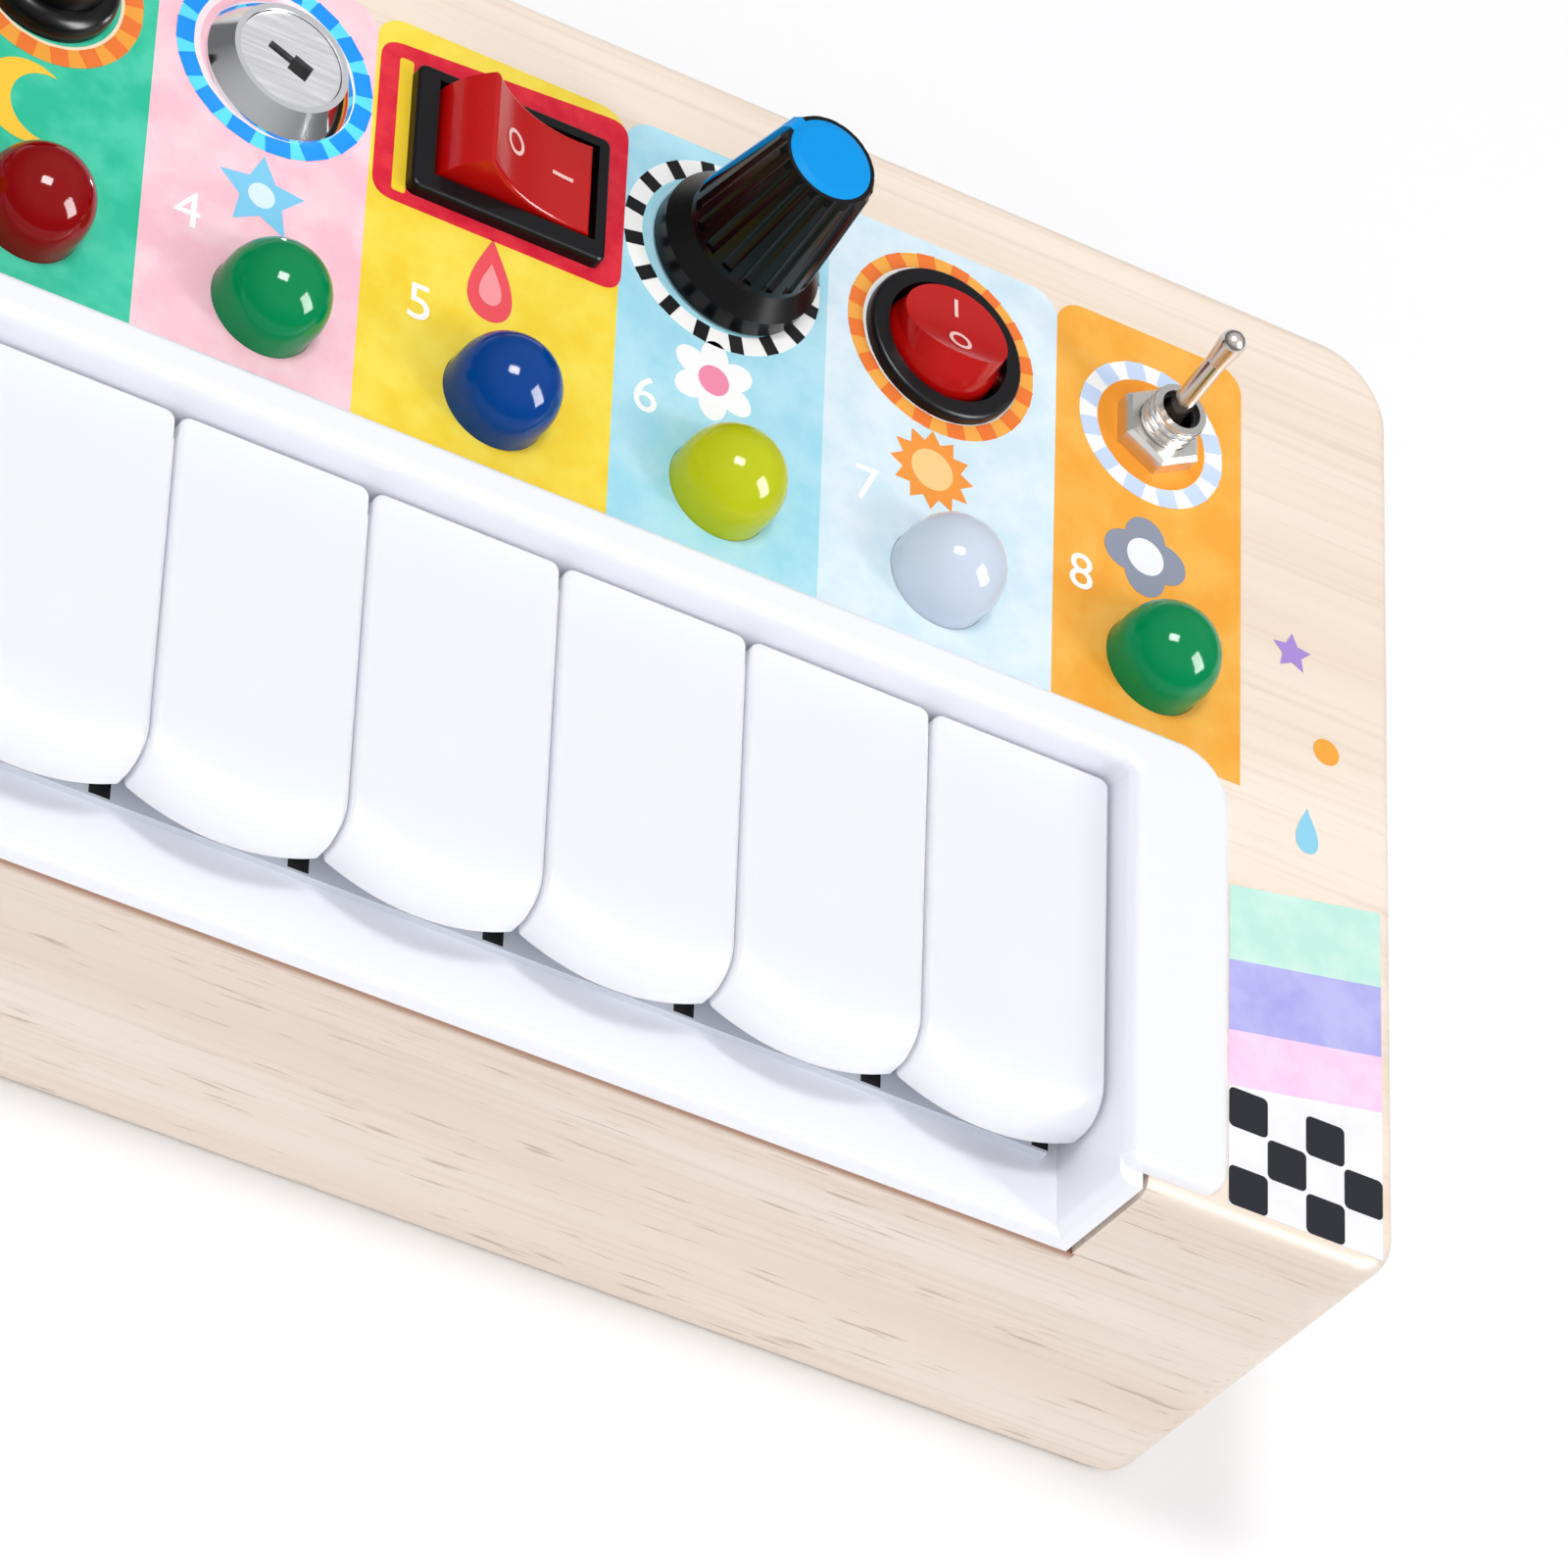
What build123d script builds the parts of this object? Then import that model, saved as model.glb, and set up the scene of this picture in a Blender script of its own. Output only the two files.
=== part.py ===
from build123d import *
import os

os.makedirs("parts", exist_ok=True)

# Cuts run past the faces they open by this much
overrun = 1

# Wooden block: one routed body with a thin top panel
board_width = 198
board_depth = 95.4
board_height = 39
back_corner = 7
front_corner = 4.5
board_edge_round = 1.5
panel_thickness = 5
side_wall = 9
front_wall = 13
back_wall = 8
post_chamfer = 10
rim_width = 5.8
rebate_depth = 3.5
rebate_corner = 3
front_y = -board_depth / 2
panel_top = board_height
panel_under = board_height - panel_thickness
hole_play = 0.1
hole_depth = 2 * (panel_thickness + overrun)

# Row of eight controls with a lamp under each
control_count = 8
control_pitch_share = 0.10808
control_pitch = board_width * control_pitch_share
row_shift = -0.85
control_from_back = 18.75
control_y = board_depth / 2 - control_from_back
row_x = [row_shift + control_pitch * (i - (control_count - 1) / 2) for i in range(control_count)]
left_toggle_x, left_round_x, button_x, lock_x = row_x[: control_count // 2]
rect_slot_x, knob_slot_x, right_round_x, right_toggle_x = row_x[control_count // 2 :]
toggle_x = {"toggle_lever_1": left_toggle_x, "toggle_lever_8": right_toggle_x}
round_x = {"round_rocker_2": left_round_x, "round_rocker_7": right_round_x}

# Keyboard tray: white moulding with a flange on the panel, open at the front
key_shift = 0.8
tray_wall = 2.2
tray_half_inner = 70.9
tray_half_outer = tray_half_inner + tray_wall
tray_depth_share = 0.42662
tray_inner_depth = board_depth * tray_depth_share
tray_floor_drop = 9.4
tray_floor = 1.9
tray_play = 0.25
tray_side_play = 0.6
tray_front_round = 0.8
tray_inner_corner = 1
tray_inner_round = 1.2
tray_mouth_round = 1.2
floor_top = panel_top - tray_floor_drop
tray_bottom = floor_top - tray_floor
tray_inner_back = front_y + tray_inner_depth
flange_side = 9.6
flange_half = tray_half_inner + flange_side
flange_back_lap = 3.95
flange_back_depth = tray_inner_depth + flange_back_lap
flange_front_gap = 1.5
flange_thickness = 1.6
flange_back_corner = 5
flange_front_corner = 2
flange_edge_round = 0.8

# Piano keys: shells with a rounded nose, hung on one rod
key_count = 8
key_side_play = 0.22
key_pitch = 2 * (tray_half_inner - key_side_play) / key_count
key_gap = 0.45
key_width = key_pitch - key_gap
key_rear_gap = 0.35
key_drop = 1.5
key_tip_from_front = 4.7
key_tip_bow = 2
key_nose = 3.2
key_mid_drop = 4.45
key_lug_drop = 6.1
key_lug_depth = 6.6
key_skin = 1.8
key_wall = 1.6
key_front_wall = 6.2
key_rear_corner = 1
key_edge_round = 0.5
key_top = panel_top - key_drop
key_rear_y = tray_inner_back - key_rear_gap
key_tip_y = front_y + key_tip_from_front
key_shoulder_y = key_tip_y + key_tip_bow
key_mid_bottom = key_top - key_mid_drop
key_lug_bottom = key_top - key_lug_drop
key_lug_front = key_rear_y - key_lug_depth
key_under = key_top - key_skin
key_x = [key_shift + key_pitch * (i - (key_count - 1) / 2) for i in range(key_count)]
rod_radius = 1.5
rod_play = 0.06
rod_from_rear = 2.6
rod_drop = 3.6
rod_y = key_rear_y - rod_from_rear
rod_z = key_top - rod_drop
plunger_from_front = 18
plunger_radius = 2.2
plunger_drop = 3.5
plunger_y = front_y + plunger_from_front
plunger_bottom = key_top - plunger_drop

# Foam strip on the tray floor that the key tips land on
strip_from_front = 6.7
strip_depth = 5.6
strip_thickness = 0.8

# Key circuit board on the tray floor, with a silicone dome under each plunger
key_board_front = 13.5
key_board_depth = 15
key_board_thickness = 1.2
key_board_side_gap = 1.4
key_board_top = floor_top + key_board_thickness
peg_radius = 1
peg_play = 0.1
peg_rise = 0.5
peg_inset = 3
dome_base_radius = 4
dome_base_height = 0.6
dome_foot_radius = 3.4
dome_top_radius = 2.1
dome_skin = 0.5
dome_gap = 0.3
dome_top = plunger_bottom - dome_gap

# Screws that hold the tray to the front wall
tray_screw_count = 4
tray_screw_share = 0.5924
tray_screw_pitch = tray_half_inner * tray_screw_share
tray_screw_from_front = 9.9
tray_screw_head = 2
tray_screw_sink = 0.9
tray_screw_shank = 1.1
tray_screw_length = 10
screw_play = 0.05

# Lamps: ten millimetre domes on their own board
lamp_radius = 4.75
lamp_flange_radius = 5.35
lamp_flange = 1
lamp_rise = 1.85
lamp_from_flange = 7.8
lamp_shift = 0.4
lamp_y = front_y + flange_back_depth + lamp_from_flange
lamp_x = [x + lamp_shift for x in row_x]
lamp_board_end = 7.1
lamp_board_length = control_pitch * (control_count - 1) + 2 * lamp_board_end
lamp_board_width = 12
lamp_board_thickness = 1.6
lamp_board_top = panel_under - lamp_flange
lamp_board_bottom = lamp_board_top - lamp_board_thickness
lamp_groups = {
    "lamp_red": (lamp_x[2],),
    "lamps_green": (lamp_x[3], lamp_x[7]),
    "lamp_blue": (lamp_x[4],),
    "lamps_lime": (lamp_x[1], lamp_x[5]),
    "lamps_milky": (lamp_x[0], lamp_x[6]),
}

# Board screws
board_screw_head = 2.2
board_screw_head_height = 1.5
board_screw_shank = 1
board_screw_length = 6.4
lamp_screw_reach = 4

# Toggle switch
toggle_bush_radius = 2.5
toggle_bush_rise = 4.6
toggle_bore = 1.9
toggle_bore_depth = 4
toggle_body_width = 7.9
toggle_body_length = 13
toggle_body_height = 10
toggle_pivot_rise = 1.5
toggle_tilt = 11.5
toggle_pin_radius = 0.6
toggle_pin_reach = 2.3
toggle_pin_play = 0.05
toggle_reach = 10.9
toggle_tail = 4
toggle_root_radius = 1
toggle_neck_radius = 0.92
toggle_tail_radius = 0.8
toggle_tip_radius = 1.2
toggle_tip_neck = 2.4
toggle_nut_flats = 7.2
toggle_nut_height = 2
nut_chamfer = 0.35
nut_bore_play = 0.05
terminal_width = 2
terminal_thickness = 0.8
terminal_length = 4.5
terminal_pitch = 4.7
toggle_pivot = panel_top + toggle_pivot_rise

# Round rocker switch
round_bezel_radius = 7.5
round_bezel_height = 1.2
round_bezel_round = 0.5
round_barrel_radius = 6.8
round_bore = 5.9
round_barrel_depth = 14
round_bore_depth = 8
round_ball = 5.55
round_pivot_drop = 1
round_tilt = 12
round_ball_below = 3.4
round_ball_above = round_pivot_drop + round_bezel_height
round_face_radius = 5.05
round_face_short = 4.2
round_face_rise = 4.2
round_dish = 0.6
round_pin_radius = 0.9
round_pin_reach = 6.5
round_pin_play = 0.05
round_pivot = panel_top - round_pivot_drop

# Rectangular rocker switch
rect_shift = 0.1
rect_back_shift = -0.25
rect_bezel_length = 18.4
rect_bezel_width = 13
rect_bezel_height = 1.4
rect_bezel_corner = 0.8
rect_bezel_round = 0.4
rect_body_length = 17
rect_body_width = 11.6
rect_body_depth = 12
rect_opening_length = 15.3
rect_opening_width = 10
rect_cavity_length = 15.9
rect_cavity_depth = 8
rect_offset = 0.41
rect_back_offset = 0.35
rect_pivot_drop = 0.6
rect_tilt = 18.7
rect_swing = 7.3
rect_ridge_rise = 4.3
rect_dish = 1.3
rect_belly = 4
rect_width = 9.4
rect_edge_round = 0.4
rect_pin_radius = 0.9
rect_pin_reach = 5.5
rect_pin_play = 0.05
rect_x = rect_slot_x + rect_shift
rect_y = control_y + rect_back_shift
rect_button_x = rect_x + rect_offset
rect_button_y = rect_y + rect_back_offset
rect_pivot = panel_top - rect_pivot_drop
rect_ridge = (rect_swing**2 - rect_ridge_rise**2) ** 0.5
rect_low = (rect_swing**2 - rect_belly**2) ** 0.5

# Potentiometer with a fluted knob
pot_can_radius = 8
pot_can_height = 9
pot_can_wall = 1
pot_bush_radius = 4
pot_bush_rise = 2.5
pot_shaft_radius = 3
pot_shaft_play = 0.05
pot_shaft_rise = 11.5
pot_collar_radius = 5
pot_collar_height = 1.5
pot_collar_gap = 1
pot_nut_flats = 10
pot_nut_height = 2
knob_lift = 0.35
knob_shift = 0.4
knob_skirt_radius = 7.5
knob_skirt_height = 2.2
knob_shoulder_radius = 6.1
knob_shoulder_height = 4
knob_crown_radius = 4.6
knob_crown_height = 15.4
knob_top_radius = 4.25
knob_top_height = 16
knob_well_radius = 6.5
knob_well_height = 3
knob_bore_height = 12.2
knob_bore_play = 0.05
cap_radius = 3.9
cap_depth = 0.8
cap_dome = 0.25
cap_play = 0.05
flute_count = 18
flute_radius = 0.75
flute_sink = 0.3
flute_foot = 4.6
pointer_width = 1.8
pointer_depth = 0.7
pointer_proud = 0.1
pointer_foot = 4.6
pointer_turn = 145
flute_taper = 7.5
knob_x = knob_slot_x + knob_shift

# Key lock
lock_bezel_radius = 6.8
lock_bezel_foot = 0.5
lock_face_radius = 5.3
lock_bezel_rise = 2.4
lock_barrel_radius = 5.6
lock_barrel_depth = 17
lock_plug_radius = 4.7
lock_plug_play = 0.05
lock_plug_sink = 0.25
lock_bore_depth = 14
lock_plug_gap = 0.4
keyway_turn = -22.6
keyway_depth = 7
keyway_start = -2.15
keyway_length = 2.8
keyway_width = 0.85
keyway_block_start = 0.15
keyway_block_drop = 0.08
keyway_block = 1.85

# Push button
button_bezel_radius = 6.3
button_bezel_rise = 2.2
button_bezel_round = 1.5
button_barrel_depth = 14
button_cap_radius = 4.6
button_play = 0.06
button_cap_rise = 5.4
button_cap_depth = 6
button_cap_round = 0.8
button_bore_depth = 10

# Ring nuts under the panel for the lock and the push button
panel_nut_flats = 14
panel_nut_height = 2.5

# Base panel with a rebate fit, speaker slots and a battery opening
base_thickness = 3
base_play = 0.2
base_bottom = rebate_depth - base_thickness
base_screw_inset_x = 11.5
base_screw_inset_y = 10.2
base_screw_head = 2.8
base_screw_sink = 1.5
base_screw_shank = 1.4
base_screw_length = 13
cross_width = 0.7
cross_depth = 0.5
cross_share = 1.2

# Speaker on the base panel
speaker_radius = 20
speaker_from_side = 43
speaker_wall_gap = 3
speaker_x = board_width / 2 - speaker_from_side
speaker_y = board_depth / 2 - back_wall - speaker_wall_gap - speaker_radius
speaker_inner = 17.5
speaker_rim = 1.5
speaker_skin = 1.2
speaker_neck_radius = 9.5
speaker_neck_height = 8
speaker_plate = 1.2
magnet_radius = 9.5
magnet_height = 6
cone_rim_radius = 17
cone_neck_radius = 5
cone_lift = 0.6
cone_height = 5
cone_skin = 0.6
grille_slot_count = 7
grille_pitch = 4
grille_slot = 1.8
grille_radius = 15

# Battery box for three small cells, set into the base panel
cell_count = 3
cell_radius = 5.2
cell_length = 43.5
cell_tip_radius = 1.8
cell_tip = 1
cell_pitch = 10.8
box_from_side = 53
box_from_back = 33.7
box_x = box_from_side - board_width / 2
box_y = board_depth / 2 - box_from_back
box_wall = 1.5
box_end_room = 2.2
box_inner_length = cell_length + cell_tip + 2 * box_end_room
box_inner_width = cell_count * cell_pitch
box_inner_top = 9.4
box_flange = 3
box_flange_thickness = 1.5
box_skirt = 2.6
door_thickness = 1.5
door_lap = 1.2
door_play = 0.2
door_top = base_bottom + door_thickness
door_screw_radius = 1.1
door_screw_head = 2
door_screw_sink = 0.8
door_screw_length = 7
door_post_radius = 2.8
door_post_height = 5
door_tab = 8
door_tab_width = 12
contact_thickness = 0.5
contact_size = 8.6
contact_foot_radius = 3.2
contact_tip_radius = 1.8

# Main circuit board on four posts
main_length = 38
main_width = 24
main_thickness = 1.6
main_wall_gap = 1.7
main_x = 15
main_y = front_y + front_wall + main_wall_gap + main_width / 2
post_radius = 2.6
post_height = 5
post_inset = 4
chip_length = 11
chip_width = 8
chip_height = 1.4
can_radius = 3
can_height = 7
can_shift = 12
main_bottom = rebate_depth + post_height
main_top = main_bottom + main_thickness


def upright(x, y):
    return Plane((x, y, 0), x_dir=(1, 0, 0), z_dir=(0, -1, 0))


def spin(x, y):
    return Axis((x, y, 0), (0, 0, 1))


low = (Align.CENTER, Align.CENTER, Align.MIN)
high = (Align.CENTER, Align.CENTER, Align.MAX)
front_low = (Align.CENTER, Align.MIN)

base_screw_spots = [
    (sx * (board_width / 2 - base_screw_inset_x), sy * (board_depth / 2 - base_screw_inset_y))
    for sx in (-1, 1)
    for sy in (-1, 1)
]
tray_screw_spots = [
    (key_shift + tray_screw_pitch * (i - (tray_screw_count - 1) / 2), front_y + tray_screw_from_front)
    for i in range(tray_screw_count)
]
lamp_screw_spots = [(lamp_x[1] + control_pitch / 2, lamp_y), (lamp_x[6] - control_pitch / 2, lamp_y)]
post_spots = [
    (main_x + sx * (main_length / 2 - post_inset), main_y + sy * (main_width / 2 - post_inset))
    for sx in (-1, 1)
    for sy in (-1, 1)
]
key_board_half = tray_half_inner - key_board_side_gap
key_board_middle = front_y + key_board_front + key_board_depth / 2
key_board_spots = [(key_shift + sx * (key_board_half - peg_inset), key_board_middle) for sx in (-1, 1)]

# Wooden block
with BuildPart() as wood_body:
    with BuildSketch() as outline:
        Rectangle(board_width, board_depth)
        fillet(outline.vertices().group_by(Axis.Y)[-1], back_corner)
        fillet(outline.vertices().group_by(Axis.Y)[0], front_corner)
    extrude(amount=board_height)
    ends = wood_body.faces().sort_by(Axis.Z)
    fillet(ends[0].edges() + ends[-1].edges(), board_edge_round)
    with BuildSketch() as cavity_plan:
        with Locations((0, (front_wall - back_wall) / 2)):
            Rectangle(board_width - 2 * side_wall, board_depth - front_wall - back_wall)
        chamfer(cavity_plan.vertices(), post_chamfer)
    extrude(amount=panel_under, mode=Mode.SUBTRACT)
    with BuildSketch():
        RectangleRounded(board_width - 2 * rim_width, board_depth - 2 * rim_width, rebate_corner)
    extrude(amount=rebate_depth, mode=Mode.SUBTRACT)
    with BuildSketch(Plane.XY.offset(tray_bottom)):
        with Locations((key_shift, front_y - overrun)):
            Rectangle(
                2 * (tray_half_outer + tray_side_play),
                tray_inner_depth + tray_wall + tray_play + overrun,
                align=front_low,
            )
    extrude(amount=board_height, mode=Mode.SUBTRACT)
    with Locations([(x, control_y, panel_top) for x in toggle_x.values()]):
        Cylinder(toggle_bush_radius + hole_play, hole_depth, mode=Mode.SUBTRACT)
    with Locations([(x, control_y, panel_top) for x in round_x.values()]):
        Cylinder(round_barrel_radius + hole_play, hole_depth, mode=Mode.SUBTRACT)
    with Locations((button_x, control_y, panel_top), (lock_x, control_y, panel_top)):
        Cylinder(lock_barrel_radius + hole_play, hole_depth, mode=Mode.SUBTRACT)
    with Locations((knob_x, control_y, panel_top)):
        Cylinder(pot_bush_radius + hole_play, hole_depth, mode=Mode.SUBTRACT)
    with Locations((rect_button_x, rect_button_y, panel_top)):
        Box(
            rect_body_length + 2 * hole_play,
            rect_body_width + 2 * hole_play,
            hole_depth,
            mode=Mode.SUBTRACT,
        )
    with Locations([(x, lamp_y, panel_top) for x in lamp_x]):
        Cylinder(lamp_radius + hole_play, hole_depth, mode=Mode.SUBTRACT)
    with Locations([(x, y, rebate_depth) for x, y in base_screw_spots]):
        Cylinder(base_screw_shank + screw_play, base_screw_length, align=low, mode=Mode.SUBTRACT)
    with Locations([(x, y, tray_bottom) for x, y in tray_screw_spots]):
        Cylinder(tray_screw_shank + screw_play, tray_screw_length, align=high, mode=Mode.SUBTRACT)
    with Locations([(x, y, panel_under) for x, y in lamp_screw_spots]):
        Cylinder(board_screw_shank + screw_play, lamp_screw_reach, align=low, mode=Mode.SUBTRACT)
wood_body.part.label = "wood_body"
export_step(wood_body.part, "parts/wood_body.step")

# Keyboard tray
with BuildPart() as key_tray:
    with BuildSketch(Plane.XY.offset(tray_bottom)):
        with Locations((key_shift, front_y)):
            Rectangle(2 * tray_half_outer, tray_inner_depth + tray_wall, align=front_low)
    extrude(amount=panel_top - tray_bottom)
    with BuildSketch(Plane.XY.offset(panel_top)) as flange_plan:
        with Locations((key_shift, front_y + flange_front_gap)):
            Rectangle(2 * flange_half, flange_back_depth - flange_front_gap, align=front_low)
        fillet(flange_plan.vertices().group_by(Axis.Y)[-1], flange_back_corner)
        fillet(flange_plan.vertices().group_by(Axis.Y)[0], flange_front_corner)
    extrude(amount=flange_thickness)
    fillet(key_tray.faces().sort_by(Axis.Z)[-1].edges(), flange_edge_round)
    with BuildSketch(Plane.XY.offset(floor_top)) as well_plan:
        with Locations((key_shift, front_y - overrun)):
            Rectangle(2 * tray_half_inner, tray_inner_depth + overrun, align=front_low)
        fillet(well_plan.vertices().group_by(Axis.Y)[-1], tray_inner_corner)
    extrude(amount=board_height, mode=Mode.SUBTRACT)
    shoulder = key_tray.faces().sort_by(Axis.Z)[-1].edges()
    well_rim = shoulder.filter_by(
        lambda edge: abs(edge.center().X - key_shift) < tray_half_inner + tray_play
        and edge.center().Y < tray_inner_back + tray_play
        and edge.length > tray_inner_corner
    )
    fillet(well_rim, tray_inner_round)
    mouth = key_tray.edges().filter_by(Axis.Z).group_by(Axis.Y)[0]
    fillet(mouth.sort_by(lambda edge: abs(edge.center().X - key_shift))[:2], tray_mouth_round)
    lip = key_tray.edges().filter_by(Axis.X).group_by(Axis.Y)[0].sort_by(SortBy.LENGTH)[-2:]
    fillet(lip.sort_by(Axis.Z)[-1], tray_front_round)
    with Locations((key_shift, rod_y, rod_z)):
        Cylinder(
            rod_radius + rod_play,
            2 * (tray_half_outer + overrun),
            rotation=(0, 90, 0),
            mode=Mode.SUBTRACT,
        )
    with Locations([(x, y, floor_top) for x, y in key_board_spots]):
        Cylinder(peg_radius, key_board_thickness + peg_rise, align=low)
    with Locations([(x, y, floor_top) for x, y in tray_screw_spots]):
        Cylinder(tray_screw_shank + screw_play, tray_floor + overrun, align=high, mode=Mode.SUBTRACT)
        Cone(
            tray_screw_shank + screw_play,
            tray_screw_head + screw_play,
            tray_screw_sink,
            align=high,
            mode=Mode.SUBTRACT,
        )
key_tray.part.label = "key_tray"
export_step(key_tray.part, "parts/key_tray.step")

# Screws of the tray, heads flush with the tray floor
with BuildPart() as tray_screws:
    with Locations([(x, y, floor_top) for x, y in tray_screw_spots]):
        Cylinder(tray_screw_shank, tray_screw_length, align=high)
        Cone(tray_screw_shank, tray_screw_head, tray_screw_sink, align=high)
        Box(cross_width, tray_screw_head * cross_share, 2 * cross_depth, mode=Mode.SUBTRACT)
        Box(tray_screw_head * cross_share, cross_width, 2 * cross_depth, mode=Mode.SUBTRACT)
tray_screws.part.label = "tray_screws"
export_step(tray_screws.part, "parts/tray_screws.step")

# Pivot rod of the keys
with BuildPart() as key_rod:
    with Locations((key_shift, rod_y, rod_z)):
        Cylinder(rod_radius, 2 * tray_half_outer, rotation=(0, 90, 0))
key_rod.part.label = "key_rod"
export_step(key_rod.part, "parts/key_rod.step")

# Circuit board under the keys
with BuildPart() as key_board:
    with BuildSketch(Plane.XY.offset(floor_top)):
        with Locations((key_shift, front_y + key_board_front)):
            Rectangle(2 * key_board_half, key_board_depth, align=front_low)
    extrude(amount=key_board_thickness)
    with Locations([(x, y, floor_top) for x, y in key_board_spots]):
        Cylinder(peg_radius + peg_play, hole_depth, mode=Mode.SUBTRACT)
key_board.part.label = "key_board"
export_step(key_board.part, "parts/key_board.step")

# Foam strip under the key tips
with BuildPart() as stop_strip:
    with BuildSketch(Plane.XY.offset(floor_top)):
        with Locations((key_shift, front_y + strip_from_front)):
            Rectangle(2 * key_board_half, strip_depth, align=front_low)
    extrude(amount=strip_thickness)
stop_strip.part.label = "key_stop_strip"
export_step(stop_strip.part, "parts/key_stop_strip.step")

# Keys and the domes under them
for number, centre in enumerate(key_x, start=1):
    left = centre - key_width / 2
    right = centre + key_width / 2
    with BuildPart() as key:
        with BuildSketch(Plane.XY.offset(key_lug_bottom)) as plan:
            with BuildLine():
                Polyline(
                    (left, key_shoulder_y),
                    (left, key_rear_y),
                    (right, key_rear_y),
                    (right, key_shoulder_y),
                )
                ThreePointArc((right, key_shoulder_y), (centre, key_tip_y), (left, key_shoulder_y))
            make_face()
            fillet(plan.vertices().group_by(Axis.Y)[-1], key_rear_corner)
        extrude(amount=key_lug_drop)
        with Locations((centre, key_lug_front, key_mid_bottom)):
            Box(
                key_width + 2 * overrun,
                tray_inner_depth,
                board_height,
                align=(Align.CENTER, Align.MAX, Align.MAX),
                mode=Mode.SUBTRACT,
            )
        fillet(key.faces().sort_by(Axis.Z)[-1].edges().sort_by(Axis.Y)[0], key_nose)
        flat = key.faces().sort_by(Axis.Z)[-1]
        rear_rim = flat.edges().sort_by(Axis.Y)[1:]
        nose_sides = key.edges().filter_by(
            lambda edge: edge.center().Y < key_tip_y + key_front_wall
            and abs(abs(edge.center().X - centre) - key_width / 2) < key_gap
            and edge.bounding_box().min.Z > key_mid_bottom + key_edge_round
        )
        fillet(rear_rim + nose_sides, key_edge_round)
        with BuildSketch(Plane.YZ.offset(centre)):
            Polygon(
                (key_rear_y - key_wall, key_lug_bottom - overrun),
                (key_rear_y - key_wall, key_under),
                (key_tip_y + key_front_wall, key_under),
                (key_tip_y + key_front_wall, key_lug_bottom - overrun),
                align=None,
            )
        extrude(amount=key_width / 2 - key_wall, both=True, mode=Mode.SUBTRACT)
        with Locations((centre, plunger_y, plunger_bottom)):
            Cylinder(plunger_radius, key_top - key_skin / 2 - plunger_bottom, align=low)
        with Locations((centre, rod_y, rod_z)):
            Cylinder(
                rod_radius + rod_play,
                key_width + 2 * overrun,
                rotation=(0, 90, 0),
                mode=Mode.SUBTRACT,
            )
    key.part.label = f"key_{number}"
    export_step(key.part, f"parts/key_{number}.step")

    with BuildPart() as dome:
        with BuildSketch(upright(centre, plunger_y)):
            Polygon(
                (dome_foot_radius - dome_skin, key_board_top),
                (dome_base_radius, key_board_top),
                (dome_base_radius, key_board_top + dome_base_height),
                (dome_foot_radius, key_board_top + dome_base_height),
                (dome_top_radius, dome_top),
                (0, dome_top),
                (0, dome_top - dome_skin),
                (dome_top_radius - dome_skin, dome_top - dome_skin),
                align=None,
            )
        revolve(axis=spin(centre, plunger_y))
    dome.part.label = f"key_dome_{number}"
    export_step(dome.part, f"parts/key_dome_{number}.step")

# Lamps, one node for each colour
for name, places in lamp_groups.items():
    with BuildPart() as lamps:
        for x in places:
            with BuildSketch(upright(x, lamp_y)):
                with BuildLine():
                    Polyline(
                        (0, panel_top + lamp_rise + lamp_radius),
                        (0, lamp_board_top),
                        (lamp_flange_radius, lamp_board_top),
                        (lamp_flange_radius, panel_under),
                        (lamp_radius, panel_under),
                        (lamp_radius, panel_top + lamp_rise),
                    )
                    RadiusArc(
                        (lamp_radius, panel_top + lamp_rise),
                        (0, panel_top + lamp_rise + lamp_radius),
                        -lamp_radius,
                    )
                make_face()
            revolve(axis=spin(x, lamp_y))
    lamps.part.label = name
    export_step(lamps.part, f"parts/{name}.step")

# Lamp board
with BuildPart() as lamp_board:
    with Locations((row_shift + lamp_shift, lamp_y, lamp_board_bottom)):
        Box(lamp_board_length, lamp_board_width, lamp_board_thickness, align=low)
    with Locations([(x, y, lamp_board_bottom) for x, y in lamp_screw_spots]):
        Cylinder(board_screw_shank + screw_play, hole_depth, mode=Mode.SUBTRACT)
lamp_board.part.label = "lamp_board"
export_step(lamp_board.part, "parts/lamp_board.step")

# Toggle switches
with BuildPart() as toggle_bodies:
    for x in toggle_x.values():
        with Locations((x, control_y, panel_under)):
            Box(toggle_body_width, toggle_body_length, toggle_body_height, align=high)
            Cylinder(toggle_bush_radius, panel_thickness + toggle_bush_rise, align=low)
        with Locations((x, control_y, panel_top + toggle_bush_rise)):
            Cylinder(
                toggle_bore,
                panel_thickness + toggle_bush_rise + toggle_bore_depth,
                align=high,
                mode=Mode.SUBTRACT,
            )
        with Locations((x, control_y, toggle_pivot)):
            Cylinder(
                toggle_pin_radius + toggle_pin_play,
                2 * toggle_bush_radius + overrun,
                rotation=(0, 90, 0),
                mode=Mode.SUBTRACT,
            )
        with Locations((x, control_y, panel_under - toggle_body_height)):
            with GridLocations(0, terminal_pitch, 1, 3):
                Box(terminal_width, terminal_thickness, terminal_length, align=high)
toggle_bodies.part.label = "toggle_bodies"
export_step(toggle_bodies.part, "parts/toggle_bodies.step")

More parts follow.
